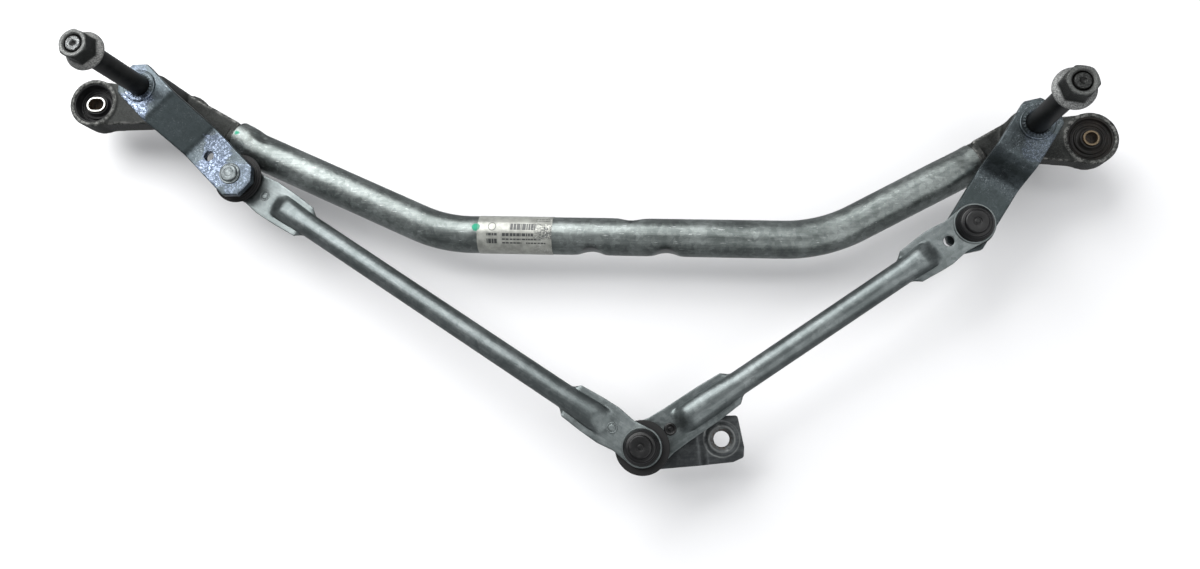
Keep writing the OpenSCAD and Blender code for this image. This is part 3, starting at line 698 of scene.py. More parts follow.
def tube_line():
    """Centre line of the tube: x, y and heading at close stations."""
    left_corner = TUBE_LEFT[0] + (TUBE_LEFT[1] - TUBE_MID_Y) / tan(TUBE_LEFT_ANGLE)
    right_corner = TUBE_RIGHT[0] - (TUBE_RIGHT[1] - TUBE_MID_Y) / tan(TUBE_RIGHT_ANGLE)
    start = left_corner + TUBE_BEND_R * tan(TUBE_LEFT_ANGLE / 2)
    end = right_corner - TUBE_BEND_R * tan(TUBE_RIGHT_ANGLE / 2)

    def bend(x, headings):
        return [(x + TUBE_BEND_R * sin(a), TUBE_MID_Y + TUBE_BEND_R * (1 - cos(a)), a) for a in headings]

    def leg(a, b, heading, count):
        return [(a[0] + (b[0] - a[0]) * t, a[1] + (b[1] - a[1]) * t, heading)
                for t in np.linspace(0, 1, count)]

    left = bend(start, np.linspace(-TUBE_LEFT_ANGLE, 0, 25))
    right = bend(end, np.linspace(0, TUBE_RIGHT_ANGLE, 29))
    middle = leg((start, TUBE_MID_Y), (end, TUBE_MID_Y), 0.0, int((end - start) / 1.5) + 1)
    return (leg(TUBE_LEFT, left[0], -TUBE_LEFT_ANGLE, 90)[:-1] + left + middle[1:-1] + right
            + leg(right[-1], TUBE_RIGHT, TUBE_RIGHT_ANGLE, 80)[1:])


def tube_shell():
    sides = 64
    line = tube_line()
    steps = [0.0]
    for a, b in zip(line, line[1:]):
        steps.append(steps[-1] + hypot(b[0] - a[0], b[1] - a[1]))
    total = steps[-1]
    angles = np.linspace(0, 2 * pi, sides, endpoint=False)

    def ring(i, radius, wall):
        x, y, heading = line[i]
        side = radius * np.cos(angles)
        up = radius * np.sin(angles)
        for seat_x, sign, depth in SEATS:
            if abs(x - seat_x) < SEAT_R - 0.5:
                limit = TUBE_R + SEAT_R - depth - sqrt(SEAT_R ** 2 - (x - seat_x) ** 2) - wall
                reach = side * sign
                # A soft minimum, so that the seat's edges are rounded
                side = sign * 0.5 * (reach + limit - np.sqrt((reach - limit) ** 2 + 1.2))
        dent = np.zeros(sides)
        for end, inward, direction, depth in CRIMPS:
            gap = steps[i] - inward if end == 0 else total - steps[i] - inward
            around = (angles - direction + pi) % (2 * pi) - pi
            dent += depth * np.exp(-(gap / 4.2) ** 2 - (around * TUBE_R / 2.9) ** 2)
        end_gap = min(steps[i], total - steps[i])
        pinch = 0.25 * np.exp(-((end_gap - 6) / 3.5) ** 2)
        flare = FLARE * np.clip(np.cos(angles - 0.6), 0, 1) ** 2 * (1 - smoothstep(steps[i], 5, 15))
        scale = 1 - (dent + pinch - flare) / TUBE_R
        side, up = side * scale, up * scale
        return np.stack([x - side * sin(heading), y + side * cos(heading), up], 1)

    last = len(line) - 1
    outer = [ring(i, TUBE_R, 0.0) for i in range(last + 1)]
    inner = [ring(i, TUBE_R - TUBE_WALL, TUBE_WALL) for i in range(last, -1, -1)]
    outer.append(ring(last, TUBE_R - TUBE_LIP, 0.0))
    inner.append(ring(0, TUBE_R - TUBE_LIP, 0.0))
    return loft(outer + inner, path_loop=True)


make_piece("frame_tube_drawn", [tube_shell()], Matrix(), "frame", tube_finish(),
           "frame_tube", 40)

# ---------------------------------------------------------------- pivot housings


def cast_copy(node, name, material):
    """A die-cast copy of a housing, with its edges and inside corners rounded."""
    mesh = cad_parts[node].data.copy()
    bm = bmesh.new()
    bm.from_mesh(mesh)
    bmesh.ops.remove_doubles(bm, verts=bm.verts, dist=WELD)
    bm.to_mesh(mesh)
    bm.free()
    rough = linked(name + "_rough", mesh)
    remesh = rough.modifiers.new("cast", "REMESH")
    remesh.mode, remesh.voxel_size, remesh.use_smooth_shade = "VOXEL", 0.75 * MM, True
    soften = rough.modifiers.new("fillet", "SMOOTH")
    soften.factor, soften.iterations = 0.5, 7
    shaped = shaped_mesh(rough)
    shaped.name = name
    shaped.materials.clear()
    shaped.materials.append(material)
    shaped.shade_smooth()
    register(linked(name, shaped), "frame", node)


housing_grey = casting_finish()
cast_copy("left_pivot_housing", "left_housing_casting", housing_grey)
cast_copy("right_pivot_housing", "right_housing_casting", housing_grey)

# ---------------------------------------------------------------- rubber mounts

BUSH_R = 12.5
# The bush's section is drawn this wide before its corners are rounded
BUSH_SPAN = 8
SLEEVE_WALL = 1.25
SLEEVE_HALF = float(corners("left_bush_sleeve")[1][2])
SLOT = (10.0, 7.2)
HOLE_R = 3.25


def slot_radius(angle, grow):
    """Distance from the middle to the rim of an obround, grown all round."""
    half = (SLOT[0] - SLOT[1]) / 2
    r = SLOT[1] / 2 + grow
    c, s = abs(cos(angle)), abs(sin(angle))
    if s > 1e-6 and r / s * c <= half:
        return r / s
    return half * c + sqrt(r * r - (half * s) ** 2)


def bush_profile(rim_top):
    """Half section from the sleeve, at 0, to the eye, at 1, as (share, height)."""
    middle = [(0, 5.9), (0.14, 5.9), (0.20, 4.9), (0.30, 3.9), (0.40, 3.7), (0.44, 4.5), (0.50, 4.5),
              (0.54, 3.3), (0.66, 3.1), (0.70, 3.9), (0.76, 3.9), (0.80, 3.3), (0.86, 3.6)]
    under = [(share, -z) for share, z in reversed(middle)]
    return middle + [(0.90, rim_top - 0.3), (1.0, rim_top), (1.0, -5.0), (0.90, -4.9)] + under


def bush_shell(rim, rim_top):
    drawn = [(share * BUSH_SPAN, z) for share, z in bush_profile(rim_top)]
    profile = round_corners(drawn, 0.35, True, 3)

    def section(a):
        inner = rim(a)
        return [(inner + (BUSH_R - inner) * across / BUSH_SPAN, z) for across, z in profile]

    return spun(section, 96)


def sleeve_shell(rim):
    wall = [(0, -SLEEVE_HALF), (0, SLEEVE_HALF), (SLEEVE_WALL, SLEEVE_HALF), (SLEEVE_WALL, -SLEEVE_HALF)]
    profile = round_corners(wall, 0.35, True, 3)
    return spun(lambda a: [(rim(a) + out, z) for out, z in profile], 96)


# Side, place, outline of the hole for an angle and a growth, top of the rubber's rim, and finishes
MOUNTS = [("left", upright(left_eye), slot_radius, 9.3,
           rubber("mount_rubber", (0.05, 0.05, 0.048), (0.0055, 0.0055, 0.006)),
           sleeve_finish("sleeve_zinc", (0.50, 0.50, 0.48))),
          ("right", upright(right_eye), lambda a, grow: HOLE_R + grow, 5.8,
           rubber("mount_rubber_dusty", (0.030, 0.023, 0.017), (0.0045, 0.004, 0.0035)),
           sleeve_finish("sleeve_tarnished", (0.13, 0.10, 0.065)))]
for side, at, rim, rim_top, black, _ in MOUNTS:
    moulding = bush_shell(lambda a: rim(a, SLEEVE_WALL), rim_top)
    make_piece(side + "_bush_moulding", [moulding], at, "frame", black, side + "_mount_bush")
for side, at, rim, _, _, steel in MOUNTS:
    sleeve = sleeve_shell(lambda a: rim(a, 0))
    make_piece(side + "_sleeve", [sleeve], at, "frame", steel, side + "_bush_sleeve")

# ---------------------------------------------------------------- levers

LEVER_HALF_W = 12.0
LEVER_TAIL, LEVER_NOSE, LEVER_CUT = 13.5, 13.0, 6.5
SHAFT_R = 6.0
STUD_HOLE_R = 4.5
LEVER_BEND = 2.6
STAKING_TEETH, STAKING_R, STAKING_Z = 26, 7.4, 0.85


def lever_outline(length):
    half, cut = LEVER_HALF_W, LEVER_CUT
    tail, nose = -LEVER_TAIL, length + LEVER_NOSE
    corners_of_plate = [(tail, -half + cut), (tail + cut, -half), (nose - cut, -half), (nose, -half + cut),
                        (nose, half - cut), (nose - cut, half), (tail + cut, half), (tail, half - cut)]
    return round_corners(corners_of_plate, 1.6)


def step_down(x, drop, x1, x2, bend):
    """Height of a plate that steps down by drop from x1 to x2, with two rounded bends."""

    def area(x):
        ramp = np.clip(x, x1, x2) - x1
        return -drop * (ramp ** 2 / (2 * (x2 - x1)) + np.clip(x - x2, 0, None))

    return (area(x + bend) - area(x - bend)) / (2 * bend)


def staked_collar():
    """Raised collar round a spindle."""
    section = [(SHAFT_R + 0.05, -0.2), (9.8, -0.2), (9.6, 0.7), (9.1, 1.1), (8.4, 0.95), (7.6, 0.9),
               (7.0, 0.8), (SHAFT_R + 0.05, 0.55)]
    return lathe(section, 0.25, True, 96)


def teeth_round(name, tooth, count, radius, material):
    """Geometry Nodes: one tooth repeated round a circle, as a plain mesh."""
    tree = bpy.data.node_groups.new(name, "GeometryNodeTree")
    given_kinds = {"Tooth": "Geometry", "Count": "Int", "Radius": "Float", "Material": "Material"}
    for label, kind in given_kinds.items():
        tree.interface.new_socket(label, in_out="INPUT", socket_type="NodeSocket" + kind)
    tree.interface.new_socket("Teeth", in_out="OUTPUT", socket_type="NodeSocketGeometry")

    def add(kind, settings, links):
        node = tree.nodes.new(kind)
        for key, value in settings.items():
            setattr(node, key, value)
        for key, value in links.items():
            if isinstance(value, bpy.types.NodeSocket):
                tree.links.new(value, node.inputs[key])
            else:
                node.inputs[key].default_value = value
        return node

    given = add("NodeGroupInput", {}, {}).outputs
    circle = add("GeometryNodeMeshCircle", {}, {"Vertices": given["Count"], "Radius": given["Radius"]})
    step = add("ShaderNodeMath", {"operation": "DIVIDE"}, {0: 2 * pi, 1: given["Count"]})
    number = add("GeometryNodeInputIndex", {}, {})
    angle = add("ShaderNodeMath", {"operation": "MULTIPLY"}, {0: number.outputs[0], 1: step.outputs[0]})
    turn = add("ShaderNodeCombineXYZ", {}, {"Z": angle.outputs[0]})
    spots = {"Points": circle.outputs[0], "Instance": given["Tooth"], "Rotation": turn.outputs[0]}
    spread = add("GeometryNodeInstanceOnPoints", {}, spots)
    real = add("GeometryNodeRealizeInstances", {}, {"Geometry": spread.outputs[0]})
    coating = {"Geometry": real.outputs[0], "Material": given["Material"]}
    coated = add("GeometryNodeSetMaterial", {}, coating)
    add("NodeGroupOutput", {}, {"Teeth": coated.outputs[0]})

    mesh = bpy.data.meshes.new(name + "_tooth")
    mesh.from_pydata([Vector(p) * MM for p in tooth[0]], [], tooth[1])
    holder = linked(name + "_maker", mesh)
    modifier = holder.modifiers.new("teeth", "NODES")
    modifier.node_group = tree
    values = {"Count": count, "Radius": radius * MM, "Material": material}
    for item in tree.interface.items_tree:
        if item.in_out == "INPUT" and item.name in values:
            modifier[item.identifier] = values[item.name]
    made = shaped_mesh(holder)
    points = [tuple(v.co / MM) for v in made.vertices]
    faces = [tuple(face.vertices) for face in made.polygons]
    bpy.data.meshes.remove(made)
    return points, faces


def staking_tooth():
    """Wedge struck up between two cuts of the staking tool, long side outwards."""
    low = [(-0.75, -0.62), (0.75, -0.40), (0.75, 0.40), (-0.75, 0.62)]
    high = [(-0.55, -0.30, 0.36), (0.62, -0.12, 0.05), (0.62, 0.12, 0.05), (-0.55, 0.30, 0.36)]
    faces = [(3, 2, 1, 0), (4, 5, 6, 7), (0, 1, 5, 4), (1, 2, 6, 5), (2, 3, 7, 6), (3, 0, 4, 7)]
    return [(x, y, -0.4) for x, y in low] + high, faces


def lever_piece(side, at, length, drop, ramp, holes, material):
    """Lever plate that steps down by drop over ramp, with the staked collar round its spindle."""

    def form(x, y):
        return np.stack([x, y, step_down(x, drop, *ramp, LEVER_BEND)], 1)

    cut = [ring_of(0, 0, SHAFT_R + 0.05), ring_of(length, 0, STUD_HOLE_R)]
    cut += [ring_of(*hole) for hole in holes]
    plate = pressed_sheet(lever_outline(length), cut, LEVER_T, form, (1.3, 1.5), 0.55, 0.9)
    teeth = teeth_round(side + "_staking", staking_tooth(), STAKING_TEETH, STAKING_R, material)
    raised = placed(teeth, Matrix.Translation((0, 0, STAKING_Z)))
    make_piece(side + "_lever_pressing", [plate, staked_collar(), raised], at, side + "_spindle",
               material, side + "_lever", 30)


left_bloom = [((6, -12), 13, 0.95), ((52, 4), 9, 0.7), ((-9, 4), 7, 0.3), ((62, -8), 11, 0.75),
              ((75, 0), 11, 0.35)]
right_bloom = [((9, 7), 9, 0.275), ((-8, 3), 7, 0.22)]
left_zinc = lever_finish("left_lever_zinc", left_spindle, left_turn, (16.5, 40.5, 90, 95), left_bloom,
                         (0.125, 0.152, 0.168))
right_zinc = lever_finish("right_lever_zinc", right_spindle, right_turn, (25, 28, 33, 44), right_bloom,
                          (0.125, 0.150, 0.160))
lever_piece("left", left_lever_frame, left_lever_len, LEFT_DROP, (18.0, 39.3), [(51.1, -2.0, 2.9)],
            left_zinc)
lever_piece("right", right_lever_frame, right_lever_len, RIGHT_DROP, (21.7, 32.3), [], right_zinc)

# ---------------------------------------------------------------- spindles and nuts


def thread_section(low, high, pitch, root, crest):
    """Side of a V thread from low to high, as (radius, height)."""
    count = int((high - low) / pitch)
    out = []
    for k in range(count):
        z = low + pitch * k
        out += [(root, z + 0.08), (crest, z + pitch * 0.45), (crest, z + pitch * 0.58)]
    return out + [(root, high)]


def spindle_shell(bottom, tip):
    thread_start = tip - 13.5
    profile = [(0, bottom), (5.4, bottom), (SHAFT_R, bottom + 0.6), (SHAFT_R, bottom + 2.95),
               (5.2, bottom + 3.0), (5.2, bottom + 4.25), (SHAFT_R, bottom + 4.3),
               (SHAFT_R, thread_start - 3.2), (SHAFT_R - 0.12, thread_start - 2.9),
               (SHAFT_R - 0.12, thread_start - 2.5), (SHAFT_R, thread_start - 2.2),
               (SHAFT_R, thread_start - 0.7), (5.1, thread_start)]
    profile += thread_section(thread_start + 0.2, tip - 1.1, 1.25, 4.35, 4.88)
    profile += [(4.35, tip - 0.9), (3.9, tip - 0.05), (3.6, tip), (1.9, tip), (1.5, tip - 0.5),
                (0, tip - 1.9)]
    return lathe(profile, 0.12, False, 64)


NUT_AF = 15.0
NUT_H = 12.0


def hex_radius(angle, inner):
    part = (angle + pi / 6) % (pi / 3) - pi / 6
    return inner / cos(part)


def nut_shell():
    """Hexagon nut with a conical flange; the hexagon's corners are chamfered above."""

    def section(a):
        side = hex_radius(a, NUT_AF / 2)
        side = side - 0.22 * smoothstep(side, 8.35, 8.66)
        ring = [(5.0, 0.5), (5.4, 0.0), (10.5, 0.0), (10.8, 0.25), (10.8, 1.0), (10.55, 1.3), (9.6, 1.95),
                (max(side, 8.0) + 0.75, 2.6), (side + 0.18, 3.35), (side, 3.9), (side, 6.0)]
        for z in np.linspace(NUT_H - 2.1, NUT_H, 9):
            limit = 8.72 - max(0.0, z - (NUT_H - 1.75)) * 0.88
            ring.append((min(side, limit), z))
        return ring + [(7.05, NUT_H), (6.2, NUT_H - 0.04), (5.85, NUT_H - 0.1), (5.0, NUT_H - 0.9)]

    return spun(section, 144)


for side, at, end_bright in (("left", left_spindle, (0.24, 0.25, 0.25)),
                             ("right", right_spindle, (0.05, 0.052, 0.05))):
    body = side + "_spindle"
    bottom, tip = (corner[2] for corner in corners(body))
    make_piece(side + "_spindle_shaft", [spindle_shell(bottom, tip)], upright(at), body,
               spindle_finish(side + "_spindle_oxide", tip, end_bright), body, 30)
# face and flange are the painted highlight colours of the nut's top face and flange.
for side, at, turn, face, flange, flank in (
    ("left", left_spindle, radians(8), (0.20, 0.205, 0.20), (0.27, 0.27, 0.262), (0.014, 0.015, 0.014)),
    ("right", right_spindle, radians(20), (0.13, 0.135, 0.13), (0.27, 0.275, 0.27), (0.018, 0.019, 0.018)),
):
    base, top = (corner[2] for corner in corners(side + "_spindle_nut"))
    steel = nut_finish(side + "_nut_phosphate", base, top, face, flange, flank)
    make_piece(side + "_flange_nut", [nut_shell()], upright(at, base, turn), side + "_spindle",
               steel, side + "_spindle_nut", 28)

# ---------------------------------------------------------------- ball studs


def ball_arc(z, r, low, high):
    """Side of a ball centred at z, from polar angle low to high, as (radius, height)."""
    return [(r * sin(a), z - r * cos(a)) for a in np.linspace(low, high, 20)]


def stud_shell(ball_z):
    """Ball stud riveted through a lever whose face is at z = 0."""
    neck = 3.9
    start = np.arcsin(neck / BALL_R)
    head = [(0, -LEVER_T - 2.25), (1.9, -LEVER_T - 2.3), (2.2, -LEVER_T - 2.1), (2.7, -LEVER_T - 2.1),
            (3.1, -LEVER_T - 2.3), (4.5, -LEVER_T - 2.15), (5.0, -LEVER_T - 1.7), (5.15, -LEVER_T - 0.75),
            (5.6, -LEVER_T - 0.7), (6.1, -LEVER_T - 0.85), (6.4, -LEVER_T - 0.5), (6.3, -LEVER_T),
            (4.47, -LEVER_T), (4.47, 0), (6.9, 0), (7.0, 0.3), (7.0, 1.2), (6.6, 1.5), (neck, 1.5)]
    return lathe(head + ball_arc(ball_z, BALL_R, start, pi), 0.2, False, 64)


def double_stud_shell():
    """Two balls on one stem, upset below the crank arm."""
    under = CRANK_TOP_Z - CRANK_T
    neck = 3.95
    profile = [(0, under - 2.0), (5.0, under - 2.0), (5.4, under - 1.7), (6.3, under - 0.1), (6.1, under),
               (4.47, under), (4.47, CRANK_TOP_Z), (6.9, CRANK_TOP_Z), (7.0, CRANK_TOP_Z + 1.2),
               (6.6, CRANK_TOP_Z + 1.5), (neck, CRANK_TOP_Z + 1.5)]
    start = np.arcsin(neck / OPEN_BALL_R)
    profile += ball_arc(lower_ball[2], OPEN_BALL_R, start, pi - start)
    profile += ball_arc(upper_ball[2], BALL_R, np.arcsin(neck / BALL_R), pi)
    return lathe(profile, 0.2, False, 64)


stud_zinc = plain_metal("stud_zinc", (0.07, 0.08, 0.083), (0.22, 0.245, 0.25), 0.36)
left_plate_z = LEFT_ROOT_Z - LEFT_DROP - LEVER_T
right_plate_z = RIGHT_ROOT_Z - RIGHT_DROP
for name, shell, at, body, node in (
    ("left_riveted_stud", stud_shell(left_plate_z - left_ball[2]), upright(left_ball, left_plate_z) @ FLIP,
     "left_spindle", "left_ball_stud"),
    ("right_riveted_stud", stud_shell(right_ball[2] - right_plate_z), upright(right_ball, right_plate_z),
     "right_spindle", "right_ball_stud"),
    ("crank_double_stud", double_stud_shell(), upright(upper_ball), "crank", "double_ball_stud"),
):
    make_piece(name, [shell], at, body, stud_zinc, node)

# ---------------------------------------------------------------- link rods

ROD_T = 1.6
# Width of the sheet round an eye, inside its rim
EYE_EDGE = 1.9
# The right rod's plugged hole, and how far it is from the centre eye
PLUG_HOLE_R = 2.9
PLUG_IN = 18.2
CROWN_R = 6.0
CROWN_EDGE = 7.4
# Half width of the crown where it runs between the flared wings
BROAD_CROWN = 7.6
PAD_HALF = 11.3
EYE_PLATE_R = 11.1
OPEN_EYE_R = 14.4


def pad_outline(reach, eye):
    """Upper side of a rod's end, from the tip of its eye to where the channel starts."""
    tip = [(-eye * cos(a), eye * sin(a)) for a in np.linspace(0.06, pi / 2, 16)]
    return tip + [(12, max(PAD_HALF - 1.4, eye - 2.6)), (22, PAD_HALF), (reach - 5, PAD_HALF - 0.5),
                  (reach - 2.5, 9.9), (reach, CROWN_EDGE + 1.1)]


def rod_outline(length, flare, eyes):
    upper = pad_outline(flare[0], eyes[0])
    upper += [(length - x, y) for x, y in reversed(pad_outline(flare[1], eyes[1]))]
    whole = upper + [(x, -y) for x, y in reversed(upper)]
    return round_corners(whole, 1.5, True, 3)


def rod_form(length, flare, ridge):
    """Top face of a rod: flat pads, with a crown pressed up between them."""
    top = ROD_T / 2
    r = CROWN_R + top
    spread = (PAD_HALF - BROAD_CROWN) / (PAD_HALF - CROWN_EDGE)

    def both(x, ends, low, high):
        """0 near both ends and 1 between, rising from low to high past each of ends."""
        first, last = ends
        return smoothstep(x, first + low, first + high) * smoothstep(length - x, last + low, last + high)

    def form(x, v):
        rise = both(x, ridge, -3, 8)
        wing = 1 - both(x, flare, -5, 1)
        narrow = both(x, flare, -22, 0)
        a = np.clip(v / CROWN_EDGE, -1, 1) * pi / 2
        beyond = np.sign(v) * np.clip(np.abs(v) - CROWN_EDGE, 0, None)
        crown_y = (r + (BROAD_CROWN - r) * (1 - narrow)) * np.sin(a)
        crown_z = r * (np.cos(a) - 0.10 * (1 - narrow) * np.cos(a) ** 2)
        wing_y = crown_y + beyond * (spread * wing)
        wing_z = crown_z + wing * top * (1 - np.cos(a)) - np.abs(beyond) * (1 - wing)
        return np.stack([x, v + (wing_y - v) * rise, top + (wing_z - top) * rise], 1)

    return form


def eye_rim(x, eye):
    """Thin upstand round the eye of a rod."""
    section = [(eye - 1.05, -ROD_T / 2), (eye - 0.05, -ROD_T / 2), (eye - 0.05, 1.35), (eye - 0.35, 1.6),
               (eye - 0.9, 1.6), (eye - 1.05, 1.4)]
    return placed(lathe(section, 0.15, True, 96), Matrix.Translation((x, 0, 0)))


def pip(x):
    """Small round boss pressed up from a pad."""
    dome = [(0, 1.35), (1.5, 1.3), (1.9, 1.1), (2.15, 0.84), (2.4, 0.84), (2.6, 1.15), (2.95, 1.1),
            (3.1, 0.75), (3.1, 0.2), (0, 0.2)]
    return placed(lathe(dome, 0.2, False, 40), Matrix.Translation((x, 0, 0)))


def rod_piece(side, at, length, flare, ridge, eyes, holes, pips, turn):
    cut = [ring_of(0, 0, eyes[0] - EYE_EDGE), ring_of(length, 0, eyes[1] - EYE_EDGE)]
    cut += [ring_of(x, 0, PLUG_HOLE_R, 0.7) for x in holes]
    sheet = pressed_sheet(rod_outline(length, flare, eyes), cut, ROD_T, rod_form(length, flare, ridge),
                          (1.7, 0.72), 0.35, 0.9)
    shells = [sheet, eye_rim(0, eyes[0]), eye_rim(length, eyes[1])] + [pip(x) for x in pips]
    make_piece(side + "_rod_pressing", shells, at, side + "_rod",
               rod_finish(side + "_rod_zinc", turn), side + "_rod", 34)


rod_piece("left", left_rod_frame, left_rod_span, (56, 51), (30, 24), (EYE_PLATE_R, EYE_PLATE_R), [],
          [20.3, left_rod_span - 19.3], bearing(left_ball, upper_ball))
rod_piece("right", right_rod_frame, right_rod_span, (45.5, 63), (26, 24), (EYE_PLATE_R, OPEN_EYE_R),
          [16.4, right_rod_span - PLUG_IN], [], bearing(right_ball, lower_ball))

# ---------------------------------------------------------------- sockets and seals


def socket_shell():
    """Moulded ball socket: cap with stepped rings above, ball cup open below."""
    cup = BALL_R + 0.1
    cap = [(0, 8.25), (1.1, 8.25), (1.4, 8.0), (2.0, 8.0), (2.3, 8.45), (5.6, 8.5), (6.0, 8.3), (6.5, 6.5),
           (7.5, 6.35), (7.9, 6.2), (8.5, 5.6), (8.6, 4.6), (9.0, 4.1), (9.9, 2.7), (10.0, 2.2),
           (10.0, 0.9), (9.1, 0.85), (9.1, -3.6), (5.9, -3.6), (5.9, -2.6)]
    low = np.arcsin(min(1.0, 5.0 / cup))
    inner = [(cup * sin(a), -cup * cos(a)) for a in np.linspace(low, pi, 18)]
    return lathe(cap + inner, 0.22, False, 80)


SEAL_RIBS = 3
SEAL_LOW = -5.6


def seal_shell(outer_r, hole_r, body_r, high):
    """Ribbed rubber ring that closes a socket's mouth."""
    outside = []
    for k in range(SEAL_RIBS):
        z0, z1 = (SEAL_LOW + (high - SEAL_LOW) * n / SEAL_RIBS for n in (k, k + 1))
        r = outer_r - 0.9 * (SEAL_RIBS - 1 - k)
        outside += [(r - 0.55, z0 + 0.12), (r, z0 + 0.35), (r, z1 - 0.3), (r - 0.5, z1 - 0.08)]
    profile = [(hole_r, SEAL_LOW)] + outside + [(body_r, high), (body_r, high - 1.3), (hole_r, high - 1.6)]
    return lathe(profile, 0.2, True, 96)


plastic_black = moulded_plastic()
seal_rubber = rubber("seal_rubber", (0.02, 0.02, 0.021), (0.004, 0.004, 0.004))
upper_eye = left_rod_frame @ Matrix.Translation((left_rod_span, 0, 0))
open_eye = right_rod_frame @ Matrix.Translation((right_rod_span, 0, 0))
plug_hole = right_rod_frame @ Matrix.Translation((right_rod_span - PLUG_IN, 0, 0))
for name, body, at, seal_r in (("left_rod_outer", "left_rod", left_rod_frame @ FLIP, 15.0),
                               ("right_rod_outer", "right_rod", right_rod_frame, 11.6),
                               ("left_rod_centre", "left_rod", upper_eye, 15.0)):
    make_piece(name + "_ball_cup", [socket_shell()], at, body, plastic_black,
               name + "_socket")
    make_piece(name + "_mouth_seal", [seal_shell(seal_r, 5.7, 9.15, -2.4)], at, body,
               seal_rubber, name + "_seal")

collar = [(10.5, -4.0), (12.5, -4.0), (12.5, 4.1), (12.2, 4.4), (11.6, 4.1), (11.2, 4.4), (10.8, 4.4),
          (10.5, 4.1)]
make_piece("right_rod_centre_collar", [lathe(collar, 0.2, True, 96)], open_eye, "right_rod",
           plastic_black, "right_rod_centre_socket")
make_piece("right_rod_centre_boot", [seal_shell(15.0, 9.5, 12.55, -2.2)], open_eye, "right_rod",
           seal_rubber, "right_rod_centre_seal")
plug = [(0, 1.25), (0.8, 1.3), (1.1, 1.05), (1.9, 1.05), (2.2, 1.45), (2.9, 1.6), (3.4, 1.3), (3.55, 0.85),
        (2.84, 0.8), (2.84, -2.0), (0, -2.0)]
make_piece("right_rod_hole_plug", [lathe(plug, 0.18, False, 40)], plug_hole, "right_rod",
           plastic_black, "right_rod_plug")

# ---------------------------------------------------------------- crank arm

CRANK_LEN = 43.7
CRANK_TURN = radians(8.3)
CRANK_HOLE_R = 4.5
CRANK_HOLE = (upper_ball[0] + CRANK_LEN * cos(CRANK_TURN), upper_ball[1] + CRANK_LEN * sin(CRANK_TURN))


def crank_outline():
    past_hole = [(-11.8, -13.4), (5, -13.4), (11, -11.4), (12, -5.7), (10.5, 12.1), (1.5, 12.9), (-10, 12.9)]
    square_end = [(CRANK_LEN + x, y) for x, y in past_hole]
    round_end = [(12.8 * cos(a), 12.8 * sin(a)) for a in np.linspace(pi / 2, 3 * pi / 2, 24)]
    return round_corners(square_end, 1.8, False) + round_end


def crank_form(x, y):
    """The square end is set down a step, with two rings pressed round its hole."""
    z = step_down(x, 3.0, CRANK_LEN - 13.2, CRANK_LEN - 9.3, 1.2)
    gap = np.hypot(x - CRANK_LEN, y)
    z = z + 0.55 * np.exp(-((gap - 7.2) / 1.0) ** 2) - 0.25 * np.exp(-((gap - 9.4) / 0.8) ** 2)
    return np.stack([x, y, z], 1)


crank_holes = [ring_of(0, 0, STUD_HOLE_R), ring_of(CRANK_LEN, 0, CRANK_HOLE_R)]
crank_sheet = pressed_sheet(crank_outline(), crank_holes, CRANK_T, crank_form, (0.9, 0.9), 0.5, 0.8)
make_piece("crank_arm_pressing", [crank_sheet], upright(upper_ball, CRANK_TOP_Z, CRANK_TURN), "crank",
           crank_finish(), "crank_arm", 34)

# ---------------------------------------------------------------- finishes of the CAD pieces kept

KEPT = {
    "rating_label": label_finish(),
    "left_spindle_bearings": plain_metal("bearing_bronze", (0.30, 0.19, 0.08), (0.62, 0.44, 0.22), 0.4),
    "left_shaft_seal": seal_rubber,
    "left_thrust_washer": rubber("washer_nylon", (0.55, 0.53, 0.46), (0.34, 0.33, 0.28)),
    "left_circlip": plain_metal("circlip_steel", (0.03, 0.03, 0.03), (0.13, 0.13, 0.12), 0.4),
    "left_spring_washer": plain_metal("spring_washer_zinc", (0.28, 0.29, 0.30), (0.58, 0.60, 0.60), 0.35),
}
for node, material in list(KEPT.items()):
    if node.startswith("left_"):
        KEPT[node.replace("left_", "right_")] = material
for node, material in KEPT.items():
    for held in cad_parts[node].material_slots:
        held.material = material

# ---------------------------------------------------------------- floor, light and camera

FLOOR_Z = cad_box[0][2] - 0.0008


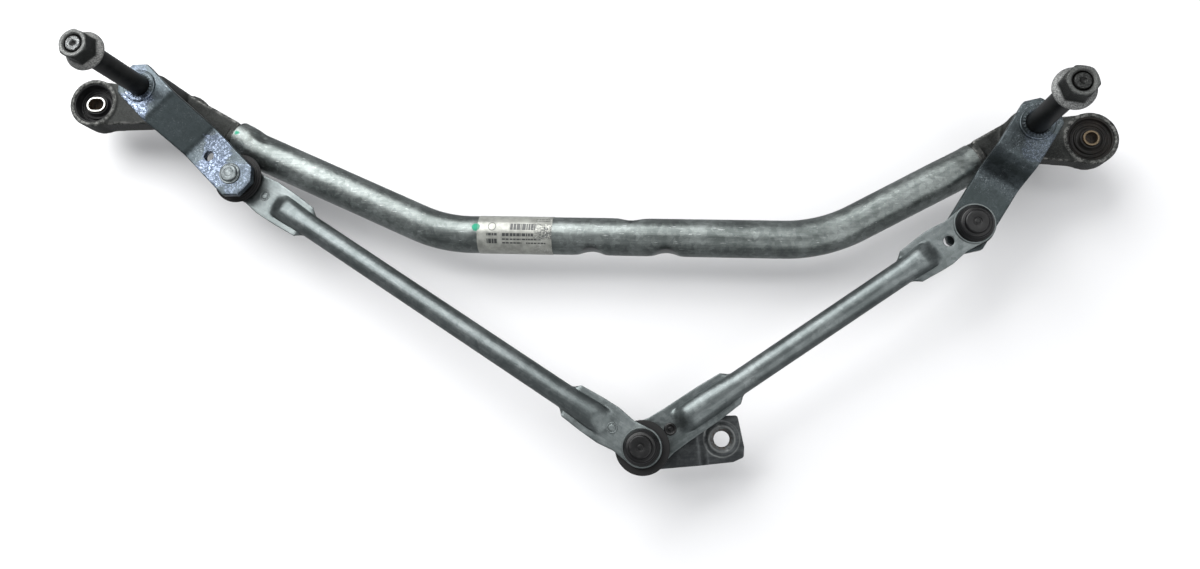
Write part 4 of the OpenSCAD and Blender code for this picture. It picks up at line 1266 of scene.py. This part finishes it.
def floor():
    """Pale paper, hidden from glossy rays so that the metals keep their dark edges."""
    mesh = bpy.data.meshes.new("floor")
    reach, parts = 3.0, 12
    steps = [-reach + 2 * reach * k / parts for k in range(parts + 1)]
    points, faces = loft([[(x - 0.25, y, FLOOR_Z) for x in steps] for y in steps], False)
    mesh.from_pydata(points, [], faces)
    paper = Finish("paper_floor", Roughness=0.9, Specular_IOR_Level=0.1)
    paper.base(paper.noise(3, 3, 0.5), (0.68, 0.68, 0.685), (0.74, 0.74, 0.745))
    mesh.materials.append(paper.close())
    ground = linked("floor", mesh)
    ground.visible_glossy = False


def softbox(name, at, aim, size, power):
    lamp = bpy.data.lights.new(name, "AREA")
    lamp.shape, lamp.size, lamp.size_y, lamp.energy = "RECTANGLE", size[0], size[1], power
    holder = linked(name, lamp)
    holder.location = Vector(at) * MM
    holder.rotation_euler = (Vector(aim) * MM - holder.location).to_track_quat("-Z", "Y").to_euler()


floor()
softbox("key_softbox", (-900, 700, 900), (-270, -40, 0), (1.5, 0.9), 27)
softbox("fill_softbox", (500, -700, 1100), (-270, -60, 0), (1.6, 1.2), 9)
softbox("top_strip", (-270, 330, 1250), (-270, -60, 0), (1.8, 0.35), 6)

world = bpy.data.worlds.new("studio")
bpy.context.scene.world = world
world.use_nodes = True
backdrop = world.node_tree.nodes["Background"]
backdrop.inputs["Color"].default_value = (0.95, 0.97, 1.0, 1)
backdrop.inputs["Strength"].default_value = 0.46
bpy.context.scene.view_settings.view_transform = "Standard"

camera_data = bpy.data.cameras.new("camera")
camera = linked("camera", camera_data)
camera_data.lens = 28.701
camera_data.sensor_width = 36
camera_data.clip_start = 0.01
RIGHT = Vector((0.99451, 0.03772, -0.09758))
DOWN = Vector((0.02163, -0.98672, -0.16101))
FORWARD = Vector((-0.10236, 0.15801, -0.98212))
turned = Matrix((RIGHT, -DOWN, -FORWARD)).transposed().to_4x4()
camera.matrix_world = Matrix.Translation(Vector((-217.44, -176.252, 547.118)) * MM) @ turned
bpy.context.scene.camera = camera
